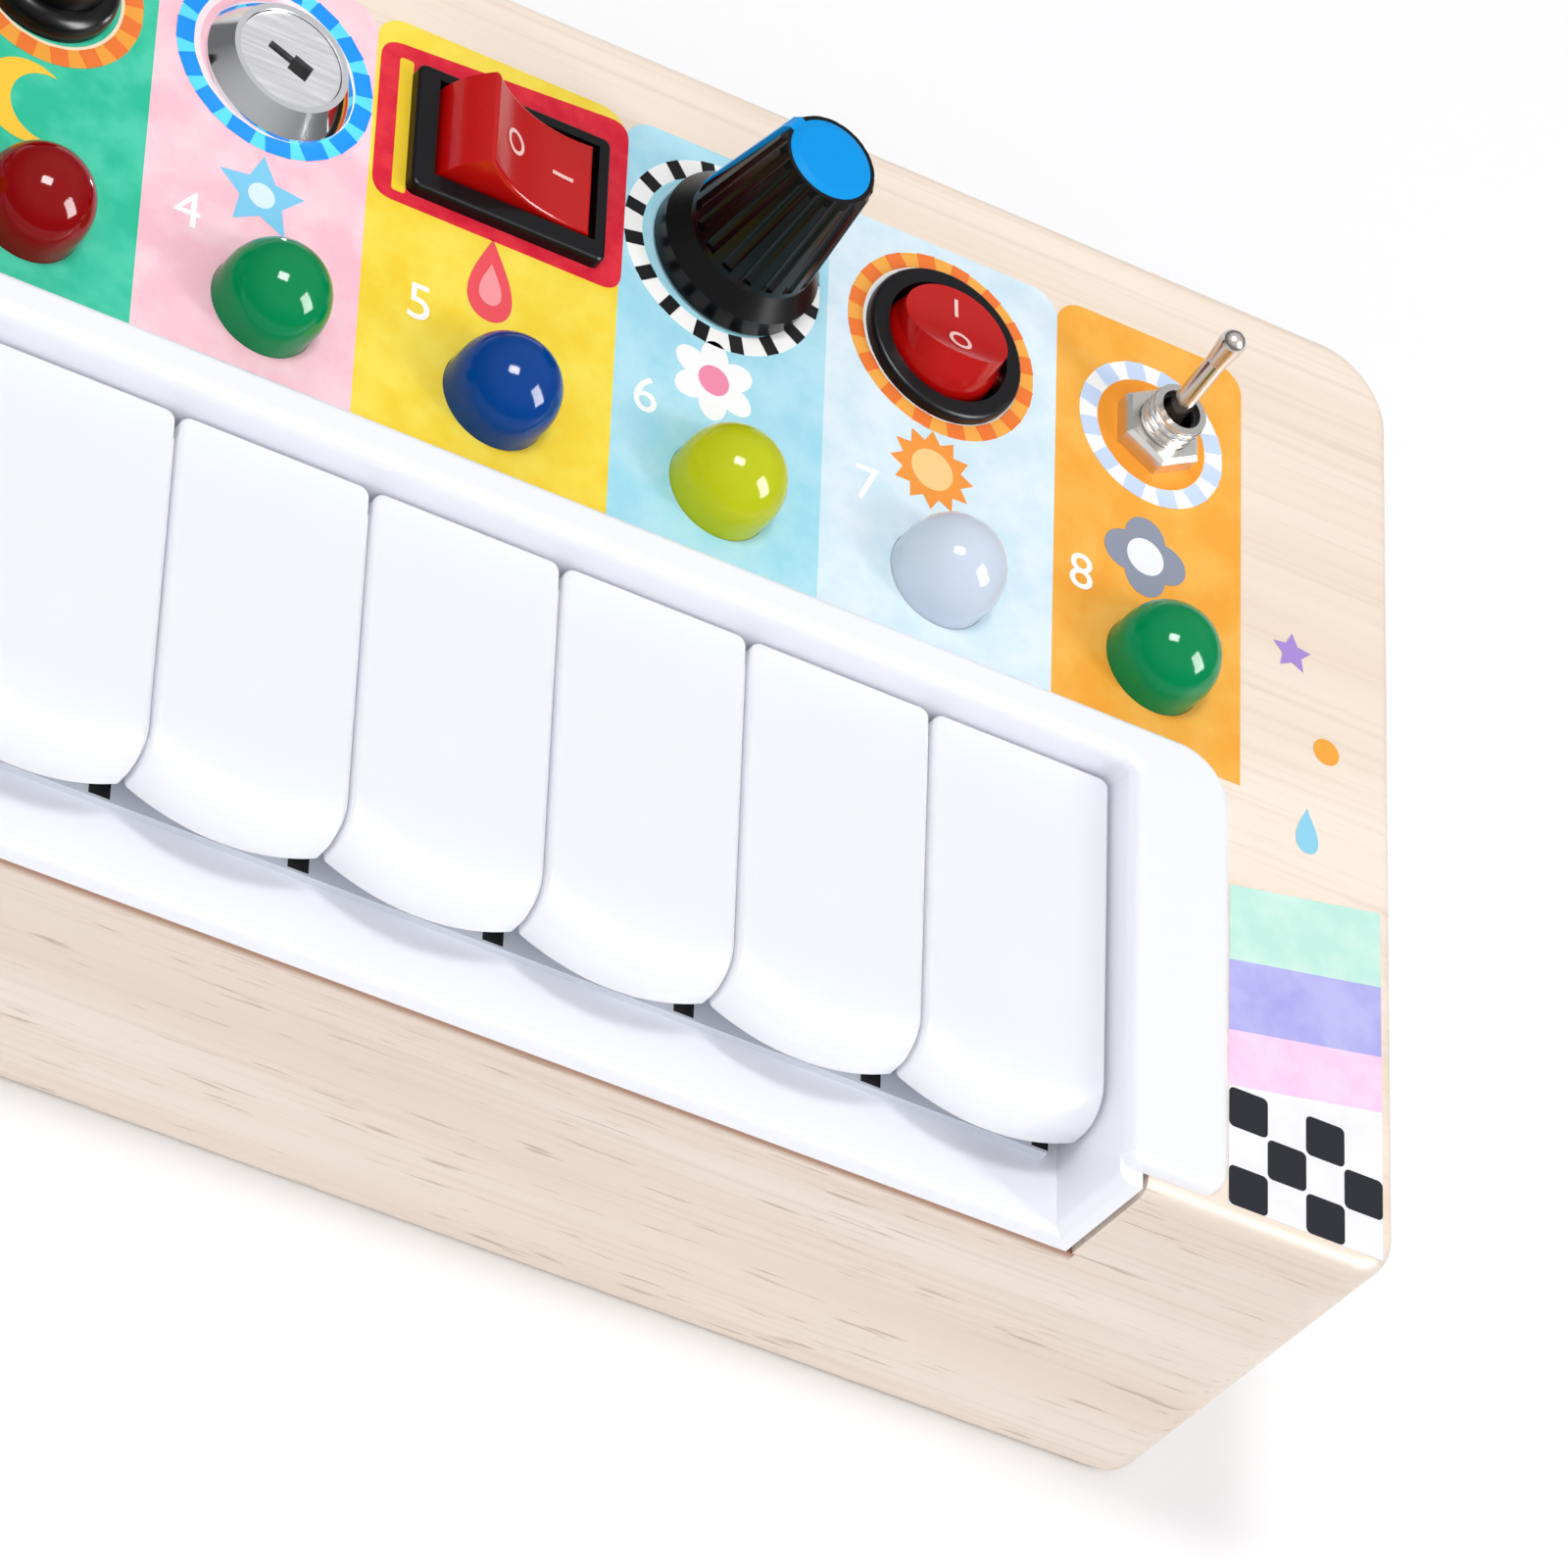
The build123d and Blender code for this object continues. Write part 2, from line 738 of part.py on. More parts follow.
with BuildPart() as toggle_nuts:
    for x in toggle_x.values():
        with BuildSketch(Plane.XY.offset(panel_top)):
            with Locations((x, control_y)):
                RegularPolygon(toggle_nut_flats / 2, 6, major_radius=False, rotation=30)
                Circle(toggle_bush_radius + nut_bore_play, mode=Mode.SUBTRACT)
        extrude(amount=toggle_nut_height)
    tops = toggle_nuts.faces().filter_by(Axis.Z).group_by(Axis.Z)[-1]
    chamfer(ShapeList([edge for face in tops for edge in face.outer_wire().edges()]), nut_chamfer)
toggle_nuts.part.label = "toggle_nuts"
export_step(toggle_nuts.part, "parts/toggle_nuts.step")

for name, x in toggle_x.items():
    seat = Plane((x, control_y, toggle_pivot)).rotated((-toggle_tilt, 0, 0))
    stem = Plane(seat.origin, x_dir=seat.x_dir, z_dir=-seat.y_dir)
    with BuildPart() as lever:
        with BuildSketch(stem):
            with BuildLine():
                Polyline(
                    (0, toggle_reach + toggle_tip_radius),
                    (0, -toggle_tail),
                    (toggle_tail_radius, -toggle_tail),
                    (toggle_root_radius, 0),
                    (toggle_neck_radius, toggle_reach - toggle_tip_neck),
                    (toggle_tip_radius, toggle_reach),
                )
                RadiusArc(
                    (toggle_tip_radius, toggle_reach),
                    (0, toggle_reach + toggle_tip_radius),
                    -toggle_tip_radius,
                )
            make_face()
        revolve(axis=Axis(seat.origin, seat.z_dir))
        with Locations(seat):
            Cylinder(toggle_pin_radius, 2 * toggle_pin_reach, rotation=(0, 90, 0))
    lever.part.label = name
    export_step(lever.part, f"parts/{name}.step")

# Round rocker switches
with BuildPart() as round_bodies:
    for x in round_x.values():
        with BuildSketch(upright(x, control_y)) as section:
            Polygon(
                (round_bore, panel_top + round_bezel_height),
                (round_bezel_radius, panel_top + round_bezel_height),
                (round_bezel_radius, panel_top),
                (round_barrel_radius, panel_top),
                (round_barrel_radius, panel_top - round_barrel_depth),
                (0, panel_top - round_barrel_depth),
                (0, panel_top - round_bore_depth),
                (round_bore, panel_top - round_bore_depth),
                align=None,
            )
            fillet(section.vertices().group_by(Axis.Y)[-1].sort_by(Axis.X)[-1], round_bezel_round)
        revolve(axis=spin(x, control_y))
        with Locations((x, control_y, round_pivot)):
            Cylinder(
                round_pin_radius + round_pin_play,
                2 * (round_pin_reach + round_pin_play),
                rotation=(0, 90, 0),
                mode=Mode.SUBTRACT,
            )
        with Locations((x, control_y, panel_top - round_barrel_depth)):
            with GridLocations(0, terminal_pitch, 1, 2):
                Box(terminal_width, terminal_thickness, terminal_length, align=high)
round_bodies.part.label = "round_rocker_bodies"
export_step(round_bodies.part, "parts/round_rocker_bodies.step")

for name, x in round_x.items():
    seat = Plane((x, control_y, round_pivot)).rotated((-round_tilt, 0, 0))
    section_plane = Plane(seat.origin, x_dir=seat.x_dir, z_dir=-seat.y_dir)
    seam_radius = (round_ball**2 - round_ball_above**2) ** 0.5
    foot_radius = (round_ball**2 - round_ball_below**2) ** 0.5
    dish_radius = (round_face_short**2 + round_dish**2) / (2 * round_dish)
    with BuildPart() as round_button:
        with BuildSketch(section_plane):
            with BuildLine():
                Polyline(
                    (seam_radius, round_ball_above),
                    (0, round_ball_above),
                    (0, -round_ball_below),
                    (foot_radius, -round_ball_below),
                )
                ThreePointArc(
                    (foot_radius, -round_ball_below),
                    (round_ball, 0),
                    (seam_radius, round_ball_above),
                )
            make_face()
        revolve(axis=Axis(seat.origin, seat.z_dir))
        with BuildSketch(seat.offset(round_ball_above)):
            Circle(seam_radius)
        with BuildSketch(seat.offset(round_face_rise)):
            Ellipse(round_face_radius, round_face_short)
        loft()
        with Locations(seat.offset(round_face_rise - round_dish + dish_radius)):
            Cylinder(dish_radius, hole_depth + board_height, rotation=(0, 90, 0), mode=Mode.SUBTRACT)
        with Locations(seat):
            Cylinder(round_pin_radius, 2 * round_pin_reach, rotation=(0, 90, 0))
    round_button.part.label = name
    export_step(round_button.part, f"parts/{name}.step")

# Rectangular rocker switch
with BuildPart() as rect_body:
    with BuildSketch(Plane.XY.offset(panel_top)):
        with Locations((rect_x, rect_y)):
            RectangleRounded(rect_bezel_length, rect_bezel_width, rect_bezel_corner)
    extrude(amount=rect_bezel_height)
    fillet(rect_body.faces().sort_by(Axis.Z)[-1].edges(), rect_bezel_round)
    with Locations((rect_button_x, rect_button_y, panel_top)):
        Box(rect_body_length, rect_body_width, rect_body_depth, align=high)
    with Locations((rect_button_x, rect_button_y, panel_top + rect_bezel_height)):
        Box(
            rect_opening_length,
            rect_opening_width,
            rect_bezel_height + rect_cavity_depth,
            align=high,
            mode=Mode.SUBTRACT,
        )
    with Locations((rect_button_x, rect_button_y, panel_top)):
        Box(rect_cavity_length, rect_opening_width, rect_cavity_depth, align=high, mode=Mode.SUBTRACT)
    with Locations((rect_button_x, rect_button_y, rect_pivot)):
        Cylinder(
            rect_pin_radius + rect_pin_play,
            2 * (rect_pin_reach + rect_pin_play),
            rotation=(90, 0, 0),
            mode=Mode.SUBTRACT,
        )
    with Locations((rect_button_x, rect_button_y, panel_top - rect_body_depth)):
        with GridLocations(terminal_pitch, 0, 3, 1):
            Box(terminal_thickness, terminal_width, terminal_length, align=high)
rect_body.part.label = "rect_rocker_body"
export_step(rect_body.part, "parts/rect_rocker_body.step")

rect_seat = Plane((rect_button_x, rect_button_y, rect_pivot)).rotated((0, rect_tilt, 0))
rect_side = Plane(rect_seat.origin, x_dir=rect_seat.x_dir, z_dir=-rect_seat.y_dir)
with BuildPart() as rect_button:
    with BuildSketch(rect_side):
        with BuildLine():
            ThreePointArc(
                (-rect_ridge, rect_ridge_rise),
                (0, rect_ridge_rise - rect_dish),
                (rect_ridge, rect_ridge_rise),
            )
            ThreePointArc((rect_ridge, rect_ridge_rise), (rect_swing, 0), (rect_low, -rect_belly))
            Line((rect_low, -rect_belly), (-rect_low, -rect_belly))
            ThreePointArc((-rect_low, -rect_belly), (-rect_swing, 0), (-rect_ridge, rect_ridge_rise))
        make_face()
    extrude(amount=rect_width / 2, both=True)
    dish_face = rect_button.faces().sort_by(Axis.Z)[-1]
    fillet(dish_face.edges(), rect_edge_round)
    with Locations(rect_side):
        Cylinder(rect_pin_radius, 2 * rect_pin_reach)
rect_button.part.label = "rect_rocker"
export_step(rect_button.part, "parts/rect_rocker.step")

# Potentiometer
pot_floor = panel_under - pot_can_height
with BuildPart() as pot_body:
    with Locations((knob_x, control_y, panel_under)):
        Cylinder(pot_can_radius, pot_can_height, align=high)
        Cylinder(pot_bush_radius, panel_thickness + pot_bush_rise, align=low)
    with Locations((knob_x, control_y, panel_under - pot_can_wall)):
        Cylinder(
            pot_can_radius - pot_can_wall,
            pot_can_height - 2 * pot_can_wall,
            align=high,
            mode=Mode.SUBTRACT,
        )
    with Locations((knob_x, control_y, panel_top + pot_bush_rise)):
        Cylinder(
            pot_shaft_radius + pot_shaft_play,
            panel_thickness + pot_bush_rise + 2 * pot_can_wall,
            align=high,
            mode=Mode.SUBTRACT,
        )
    with Locations((knob_x, control_y - pot_can_radius, pot_floor)):
        with GridLocations(terminal_pitch, 0, 3, 1):
            Box(terminal_width, terminal_length, terminal_thickness, align=low)
pot_body.part.label = "pot_body"
export_step(pot_body.part, "parts/pot_body.step")

with BuildPart() as pot_nut:
    with BuildSketch(Plane.XY.offset(panel_top)):
        with Locations((knob_x, control_y)):
            RegularPolygon(pot_nut_flats / 2, 6, major_radius=False)
            Circle(pot_bush_radius + nut_bore_play, mode=Mode.SUBTRACT)
    extrude(amount=pot_nut_height)
pot_nut.part.label = "pot_nut"
export_step(pot_nut.part, "parts/pot_nut.step")

with BuildPart() as pot_shaft:
    with Locations((knob_x, control_y, pot_floor + pot_can_wall + pot_collar_gap)):
        Cylinder(pot_collar_radius, pot_collar_height, align=low)
        Cylinder(
            pot_shaft_radius,
            panel_top + pot_shaft_rise - pot_floor - pot_can_wall - pot_collar_gap,
            align=low,
        )
pot_shaft.part.label = "pot_shaft"
export_step(pot_shaft.part, "parts/pot_shaft.step")

# Fluted knob with an inlaid cap and pointer
knob_seat = Plane((knob_x, control_y, panel_top)).rotated((0, 0, pointer_turn))
pointer_plane = Plane(knob_seat.origin, x_dir=knob_seat.x_dir, z_dir=-knob_seat.y_dir)
crown_slope = (knob_shoulder_radius - knob_crown_radius) / (knob_crown_height - knob_shoulder_height)
flank_foot = knob_shoulder_radius - crown_slope * (pointer_foot - knob_shoulder_height)
flute_middle = (flute_foot + knob_top_height + overrun) / 2
flank_middle = knob_shoulder_radius - crown_slope * (flute_middle - knob_shoulder_height)
flute_ring = flank_middle + flute_radius - flute_sink
with BuildPart() as knob_body:
    with BuildSketch(upright(knob_x, control_y)):
        Polygon(
            (pot_shaft_radius + knob_bore_play, panel_top + knob_bore_height),
            (0, panel_top + knob_bore_height),
            (0, panel_top + knob_top_height - cap_depth),
            (cap_radius, panel_top + knob_top_height - cap_depth),
            (cap_radius, panel_top + knob_top_height),
            (knob_top_radius, panel_top + knob_top_height),
            (knob_crown_radius, panel_top + knob_crown_height),
            (knob_shoulder_radius, panel_top + knob_shoulder_height),
            (knob_skirt_radius, panel_top + knob_skirt_height),
            (knob_skirt_radius, panel_top + knob_lift),
            (knob_well_radius, panel_top + knob_lift),
            (knob_well_radius, panel_top + knob_well_height),
            (pot_shaft_radius + knob_bore_play, panel_top + knob_well_height),
            align=None,
        )
    revolve(axis=spin(knob_x, control_y))
    with Locations((knob_x, control_y, panel_top + flute_middle)):
        with PolarLocations(flute_ring, flute_count):
            Cylinder(
                flute_radius,
                knob_top_height + overrun - flute_foot,
                rotation=(0, -flute_taper, 0),
                mode=Mode.SUBTRACT,
            )
    with BuildSketch(pointer_plane):
        Polygon(
            (cap_radius - pointer_depth, knob_top_height + overrun),
            (cap_radius - pointer_depth, knob_top_height - cap_depth),
            (flank_foot - pointer_depth, pointer_foot),
            (knob_skirt_radius, pointer_foot),
            (knob_skirt_radius, knob_top_height + overrun),
            align=None,
        )
    extrude(amount=pointer_width / 2 + cap_play, both=True, mode=Mode.SUBTRACT)
knob_body.part.label = "knob_body"
export_step(knob_body.part, "parts/knob_body.step")

with BuildPart() as knob_cap:
    with BuildSketch(upright(knob_x, control_y)):
        Polygon(
            (0, panel_top + knob_top_height - cap_depth),
            (cap_radius - cap_play, panel_top + knob_top_height - cap_depth),
            (cap_radius - cap_play, panel_top + knob_top_height),
            (cap_radius - cap_depth, panel_top + knob_top_height + cap_dome),
            (0, panel_top + knob_top_height + cap_dome),
            align=None,
        )
    revolve(axis=spin(knob_x, control_y))
    with BuildSketch(pointer_plane):
        Polygon(
            (cap_radius - pointer_depth, knob_top_height),
            (cap_radius - pointer_depth, knob_top_height - cap_depth + cap_play),
            (flank_foot - pointer_depth + cap_play, pointer_foot + cap_play),
            (flank_foot + pointer_proud, pointer_foot + cap_play),
            (knob_crown_radius + pointer_proud, knob_crown_height),
            (knob_top_radius, knob_top_height),
            align=None,
        )
    extrude(amount=pointer_width / 2, both=True)
knob_cap.part.label = "knob_cap"
export_step(knob_cap.part, "parts/knob_cap.step")

# Key lock
lock_top = panel_top + lock_bezel_rise
lock_floor = panel_top - lock_bore_depth
with BuildPart() as lock_barrel:
    with BuildSketch(upright(lock_x, control_y)):
        Polygon(
            (lock_plug_radius + lock_plug_play, lock_top),
            (lock_face_radius, lock_top),
            (lock_bezel_radius, panel_top + lock_bezel_foot),
            (lock_bezel_radius, panel_top),
            (lock_barrel_radius, panel_top),
            (lock_barrel_radius, panel_top - lock_barrel_depth),
            (0, panel_top - lock_barrel_depth),
            (0, lock_floor),
            (lock_plug_radius + lock_plug_play, lock_floor),
            align=None,
        )
    revolve(axis=spin(lock_x, control_y))
    with Locations((lock_x, control_y, panel_top - lock_barrel_depth)):
        with GridLocations(terminal_pitch, 0, 2, 1):
            Box(terminal_thickness, terminal_width, terminal_length, align=high)
lock_barrel.part.label = "lock_barrel"
export_step(lock_barrel.part, "parts/lock_barrel.step")

with BuildPart() as lock_plug:
    with Locations((lock_x, control_y, lock_floor + lock_plug_gap)):
        Cylinder(lock_plug_radius, lock_top - lock_plug_sink - lock_floor - lock_plug_gap, align=low)
    with BuildSketch(Plane.XY.offset(lock_top)):
        with Locations(Location((lock_x, control_y, 0), (0, 0, keyway_turn))):
            with Locations((keyway_start, 0)):
                Rectangle(keyway_length, keyway_width, align=(Align.MIN, Align.CENTER))
            with Locations((keyway_block_start, -keyway_block_drop)):
                Rectangle(keyway_block, keyway_block, align=(Align.MIN, Align.CENTER))
    extrude(amount=-keyway_depth, mode=Mode.SUBTRACT)
lock_plug.part.label = "lock_plug"
export_step(lock_plug.part, "parts/lock_plug.step")

# Push button
button_floor = panel_top - button_bore_depth
with BuildPart() as button_body:
    with BuildSketch(upright(button_x, control_y)) as section:
        Polygon(
            (button_cap_radius + button_play, panel_top + button_bezel_rise),
            (button_bezel_radius, panel_top + button_bezel_rise),
            (button_bezel_radius, panel_top),
            (lock_barrel_radius, panel_top),
            (lock_barrel_radius, panel_top - button_barrel_depth),
            (0, panel_top - button_barrel_depth),
            (0, button_floor),
            (button_cap_radius + button_play, button_floor),
            align=None,
        )
        fillet(section.vertices().group_by(Axis.Y)[-1].sort_by(Axis.X)[-1], button_bezel_round)
    revolve(axis=spin(button_x, control_y))
    with Locations((button_x, control_y, panel_top - button_barrel_depth)):
        with GridLocations(terminal_pitch, 0, 2, 1):
            Box(terminal_thickness, terminal_width, terminal_length, align=high)
button_body.part.label = "push_button_body"
export_step(button_body.part, "parts/push_button_body.step")

with BuildPart() as button_cap:
    with Locations((button_x, control_y, panel_top - button_cap_depth)):
        Cylinder(button_cap_radius, button_cap_depth + button_cap_rise, align=low)
    fillet(button_cap.faces().sort_by(Axis.Z)[-1].edges(), button_cap_round)
button_cap.part.label = "push_button_cap"
export_step(button_cap.part, "parts/push_button_cap.step")

with BuildPart() as panel_nuts:
    for x in (lock_x, button_x):
        with BuildSketch(Plane.XY.offset(panel_under)):
            with Locations((x, control_y)):
                RegularPolygon(panel_nut_flats / 2, 6, major_radius=False, rotation=30)
                Circle(lock_barrel_radius + nut_bore_play, mode=Mode.SUBTRACT)
        extrude(amount=-panel_nut_height)
panel_nuts.part.label = "panel_nuts"
export_step(panel_nuts.part, "parts/panel_nuts.step")

# Base panel
box_outer_length = box_inner_length + 2 * box_wall
box_outer_width = box_inner_width + 2 * box_wall
skirt_length = box_outer_length + 2 * box_skirt + door_tab
skirt_x = box_x + door_tab / 2
skirt_width = box_outer_width + 2 * box_skirt
with BuildPart() as base_panel:
    with BuildSketch(Plane.XY.offset(base_bottom)):
        RectangleRounded(
            board_width - 2 * (rim_width + base_play),
            board_depth - 2 * (rim_width + base_play),
            rebate_corner - base_play,
        )
        with Locations((skirt_x, box_y)):
            Rectangle(skirt_length + 2 * base_play, skirt_width + 2 * base_play, mode=Mode.SUBTRACT)
    extrude(amount=base_thickness)
    with BuildSketch(Plane.XY.offset(base_bottom)):
        for i in range(grille_slot_count):
            shift = grille_pitch * (i - (grille_slot_count - 1) / 2)
            reach = 2 * (grille_radius**2 - shift**2) ** 0.5
            with Locations((speaker_x + shift, speaker_y)):
                SlotOverall(reach, grille_slot, rotation=90)
    extrude(amount=base_thickness, mode=Mode.SUBTRACT)
    with Locations([(x, y, base_bottom) for x, y in base_screw_spots]):
        Cylinder(base_screw_shank + screw_play, hole_depth, mode=Mode.SUBTRACT)
        Cone(
            base_screw_head + screw_play,
            base_screw_shank + screw_play,
            base_screw_sink,
            align=low,
            mode=Mode.SUBTRACT,
        )
base_panel.part.label = "base_panel"
export_step(base_panel.part, "parts/base_panel.step")

with BuildPart() as base_screws:
    with Locations([(x, y, base_bottom) for x, y in base_screw_spots]):
        Cylinder(base_screw_shank, base_screw_length, align=low)
        Cone(base_screw_head, base_screw_shank, base_screw_sink, align=low)
        Box(cross_width, base_screw_head * cross_share, 2 * cross_depth, mode=Mode.SUBTRACT)
        Box(base_screw_head * cross_share, cross_width, 2 * cross_depth, mode=Mode.SUBTRACT)
base_screws.part.label = "base_screws"
export_step(base_screws.part, "parts/base_screws.step")

# Speaker
cone_rim_z = rebate_depth + cone_lift
neck_z = rebate_depth + speaker_neck_height
with BuildPart() as speaker_frame:
    with BuildSketch(upright(speaker_x, speaker_y)):
        Polygon(
            (speaker_inner, rebate_depth),
            (speaker_radius, rebate_depth),
            (speaker_radius, rebate_depth + speaker_rim),
            (speaker_inner + speaker_skin, rebate_depth + speaker_rim),
            (speaker_neck_radius + speaker_skin, neck_z),
            (0, neck_z),
            (0, neck_z - speaker_plate),
            (speaker_neck_radius, neck_z - speaker_plate),
            (speaker_inner, rebate_depth + speaker_rim),
            align=None,
        )
    revolve(axis=spin(speaker_x, speaker_y))
speaker_frame.part.label = "speaker_frame"
export_step(speaker_frame.part, "parts/speaker_frame.step")

with BuildPart() as speaker_magnet:
    with Locations((speaker_x, speaker_y, neck_z)):
        Cylinder(magnet_radius, magnet_height, align=low)
speaker_magnet.part.label = "speaker_magnet"
export_step(speaker_magnet.part, "parts/speaker_magnet.step")

with BuildPart() as speaker_cone:
    with BuildSketch(upright(speaker_x, speaker_y)):
        Polygon(
            (cone_rim_radius, cone_rim_z),
            (cone_rim_radius, cone_rim_z + cone_skin),
            (cone_neck_radius, cone_rim_z + cone_height),
            (0, cone_rim_z + cone_height),
            (0, cone_rim_z + cone_height - cone_skin),
            (cone_neck_radius, cone_rim_z + cone_height - cone_skin),
            align=None,
        )
    revolve(axis=spin(speaker_x, speaker_y))
speaker_cone.part.label = "speaker_cone"
export_step(speaker_cone.part, "parts/speaker_cone.step")

# Battery box, door, cells and contacts
box_top = rebate_depth + box_inner_top
door_length = box_inner_length + 2 * door_lap
door_width = box_inner_width + 2 * door_lap
door_end = box_x + door_length / 2
door_screw_x = door_end + door_tab / 2
cell_z = door_top + cell_radius
cell_start = box_x - box_inner_length / 2 + box_end_room
cells_y = [box_y + cell_pitch * (i - (cell_count - 1) / 2) for i in range(cell_count)]
with BuildPart() as battery_box:
    with Locations((skirt_x, box_y, base_bottom)):
        Box(skirt_length, skirt_width, base_thickness, align=low)
    with Locations((skirt_x, box_y, rebate_depth)):
        Box(skirt_length + 2 * box_flange, skirt_width + 2 * box_flange, box_flange_thickness, align=low)
    with Locations((box_x, box_y, rebate_depth)):
        Box(box_outer_length, box_outer_width, box_inner_top + box_wall, align=low)
    with Locations((door_screw_x, box_y, rebate_depth)):
        Cylinder(door_post_radius, door_post_height, align=low)
    with Locations((box_x, box_y, box_top)):
        Box(box_inner_length, box_inner_width, box_top + overrun, align=high, mode=Mode.SUBTRACT)
    with BuildSketch(Plane.XY.offset(door_top)):
        with Locations((box_x, box_y)):
            Rectangle(door_length + 2 * door_play, door_width + 2 * door_play)
        with Locations((door_end, box_y)):
            Rectangle(2 * (door_tab + door_play), door_tab_width + 2 * door_play)
    extrude(amount=-door_top - overrun, mode=Mode.SUBTRACT)
    with Locations((door_screw_x, box_y, base_bottom)):
        Cylinder(
            door_screw_radius + screw_play,
            door_screw_length + screw_play,
            align=low,
            mode=Mode.SUBTRACT,
        )
battery_box.part.label = "battery_box"
export_step(battery_box.part, "parts/battery_box.step")

with BuildPart() as battery_door:
    with BuildSketch(Plane.XY.offset(base_bottom)):
        with Locations((box_x, box_y)):
            Rectangle(door_length, door_width)
        with Locations((door_end, box_y)):
            Rectangle(2 * door_tab, door_tab_width)
    extrude(amount=door_thickness)
    with Locations((door_screw_x, box_y, base_bottom)):
        Cylinder(door_screw_radius + screw_play, hole_depth, mode=Mode.SUBTRACT)
        Cone(
            door_screw_head + screw_play,
            door_screw_radius + screw_play,
            door_screw_sink,
            align=low,
            mode=Mode.SUBTRACT,
        )
battery_door.part.label = "battery_door"
export_step(battery_door.part, "parts/battery_door.step")

with BuildPart() as door_screw:
    with Locations((door_screw_x, box_y, base_bottom)):
        Cylinder(door_screw_radius, door_screw_length, align=low)
        Cone(door_screw_head, door_screw_radius, door_screw_sink, align=low)
        Box(cross_width, door_screw_head * cross_share, 2 * cross_depth, mode=Mode.SUBTRACT)
        Box(door_screw_head * cross_share, cross_width, 2 * cross_depth, mode=Mode.SUBTRACT)
door_screw.part.label = "battery_door_screw"
export_step(door_screw.part, "parts/battery_door_screw.step")

with BuildPart() as battery_cells:
    with Locations([Location((cell_start, y, cell_z), (0, 90, 0)) for y in cells_y]):
        Cylinder(cell_radius, cell_length, align=low)
        Cylinder(cell_tip_radius, cell_length + cell_tip, align=low)
battery_cells.part.label = "battery_cells"
export_step(battery_cells.part, "parts/battery_cells.step")

with BuildPart() as battery_contacts:
    with Locations([Location((box_x - box_inner_length / 2, y, cell_z), (0, 90, 0)) for y in cells_y]):
        Box(contact_size, contact_size, contact_thickness, align=low)
        Cone(contact_foot_radius, contact_tip_radius, box_end_room, align=low)
    with Locations([Location((box_x + box_inner_length / 2, y, cell_z), (0, -90, 0)) for y in cells_y]):
        Box(contact_size, contact_size, contact_thickness, align=low)
        Cone(contact_foot_radius, contact_tip_radius, box_end_room, align=low)
battery_contacts.part.label = "battery_contacts"
export_step(battery_contacts.part, "parts/battery_contacts.step")

# Main board, its posts and all board screws
with BuildPart() as board_posts:
    with Locations([(x, y, rebate_depth) for x, y in post_spots]):
        Cylinder(post_radius, post_height, align=low)
        Cylinder(board_screw_shank + screw_play, hole_depth, mode=Mode.SUBTRACT)
board_posts.part.label = "board_posts"
export_step(board_posts.part, "parts/board_posts.step")

with BuildPart() as main_board:
    with Locations((main_x, main_y, main_bottom)):
        Box(main_length, main_width, main_thickness, align=low)
    with Locations([(x, y, main_bottom) for x, y in post_spots]):
        Cylinder(board_screw_shank + screw_play, hole_depth, mode=Mode.SUBTRACT)
    with Locations((main_x, main_y, main_top)):
        Box(chip_length, chip_width, chip_height, align=low)
    with Locations((main_x + can_shift, main_y, main_top)):
        Cylinder(can_radius, can_height, align=low)
main_board.part.label = "main_board"
export_step(main_board.part, "parts/main_board.step")

with BuildPart() as board_screws:
    with Locations([(x, y, main_top) for x, y in post_spots]):
        Cylinder(board_screw_shank, board_screw_length, align=high)
        Cylinder(board_screw_head, board_screw_head_height, align=low)
    with Locations([(x, y, lamp_board_bottom) for x, y in lamp_screw_spots]):
        Cylinder(board_screw_shank, board_screw_length, align=low)
        Cylinder(board_screw_head, board_screw_head_height, align=high)
board_screws.part.label = "board_screws"
export_step(board_screws.part, "parts/board_screws.step")
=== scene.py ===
import math
import bmesh
import bpy
from mathutils import Matrix, Vector
from mathutils.geometry import tessellate_polygon


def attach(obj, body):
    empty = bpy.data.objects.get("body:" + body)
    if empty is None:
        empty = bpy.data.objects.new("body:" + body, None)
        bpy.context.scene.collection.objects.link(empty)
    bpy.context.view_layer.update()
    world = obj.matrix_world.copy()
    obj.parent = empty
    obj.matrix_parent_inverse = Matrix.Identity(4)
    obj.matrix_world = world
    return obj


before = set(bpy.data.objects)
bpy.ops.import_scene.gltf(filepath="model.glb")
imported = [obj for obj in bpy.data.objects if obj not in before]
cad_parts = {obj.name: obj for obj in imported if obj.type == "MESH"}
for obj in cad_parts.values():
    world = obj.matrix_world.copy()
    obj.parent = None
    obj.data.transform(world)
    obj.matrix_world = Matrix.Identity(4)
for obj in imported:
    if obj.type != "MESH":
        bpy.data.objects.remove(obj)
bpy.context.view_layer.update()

scene = bpy.context.scene
mm = 0.001  # all shapes below are thought out in millimetres
print("frame loaded:", len(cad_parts), "nodes")

# places on the panel, from the middle of the board
panel = {"top": 39.0, "rowShift": -0.85, "pitch": 21.4, "controlY": 28.95, "lampY": 4.75, "lampShift": 0.4}
rowX = [panel["rowShift"] + panel["pitch"] * (i - 3.5) for i in range(8)]
keyRow = {"shift": 0.8, "pitch": 17.67, "halfWidth": 8.61, "gap": 0.45}


# colour and node helpers

def rgb(hexText):
    parts = [int(hexText[i:i + 2], 16) / 255 for i in (1, 3, 5)]
    return [c / 12.92 if c <= 0.04045 else ((c + 0.055) / 1.055) ** 2.4 for c in parts] + [1.0]


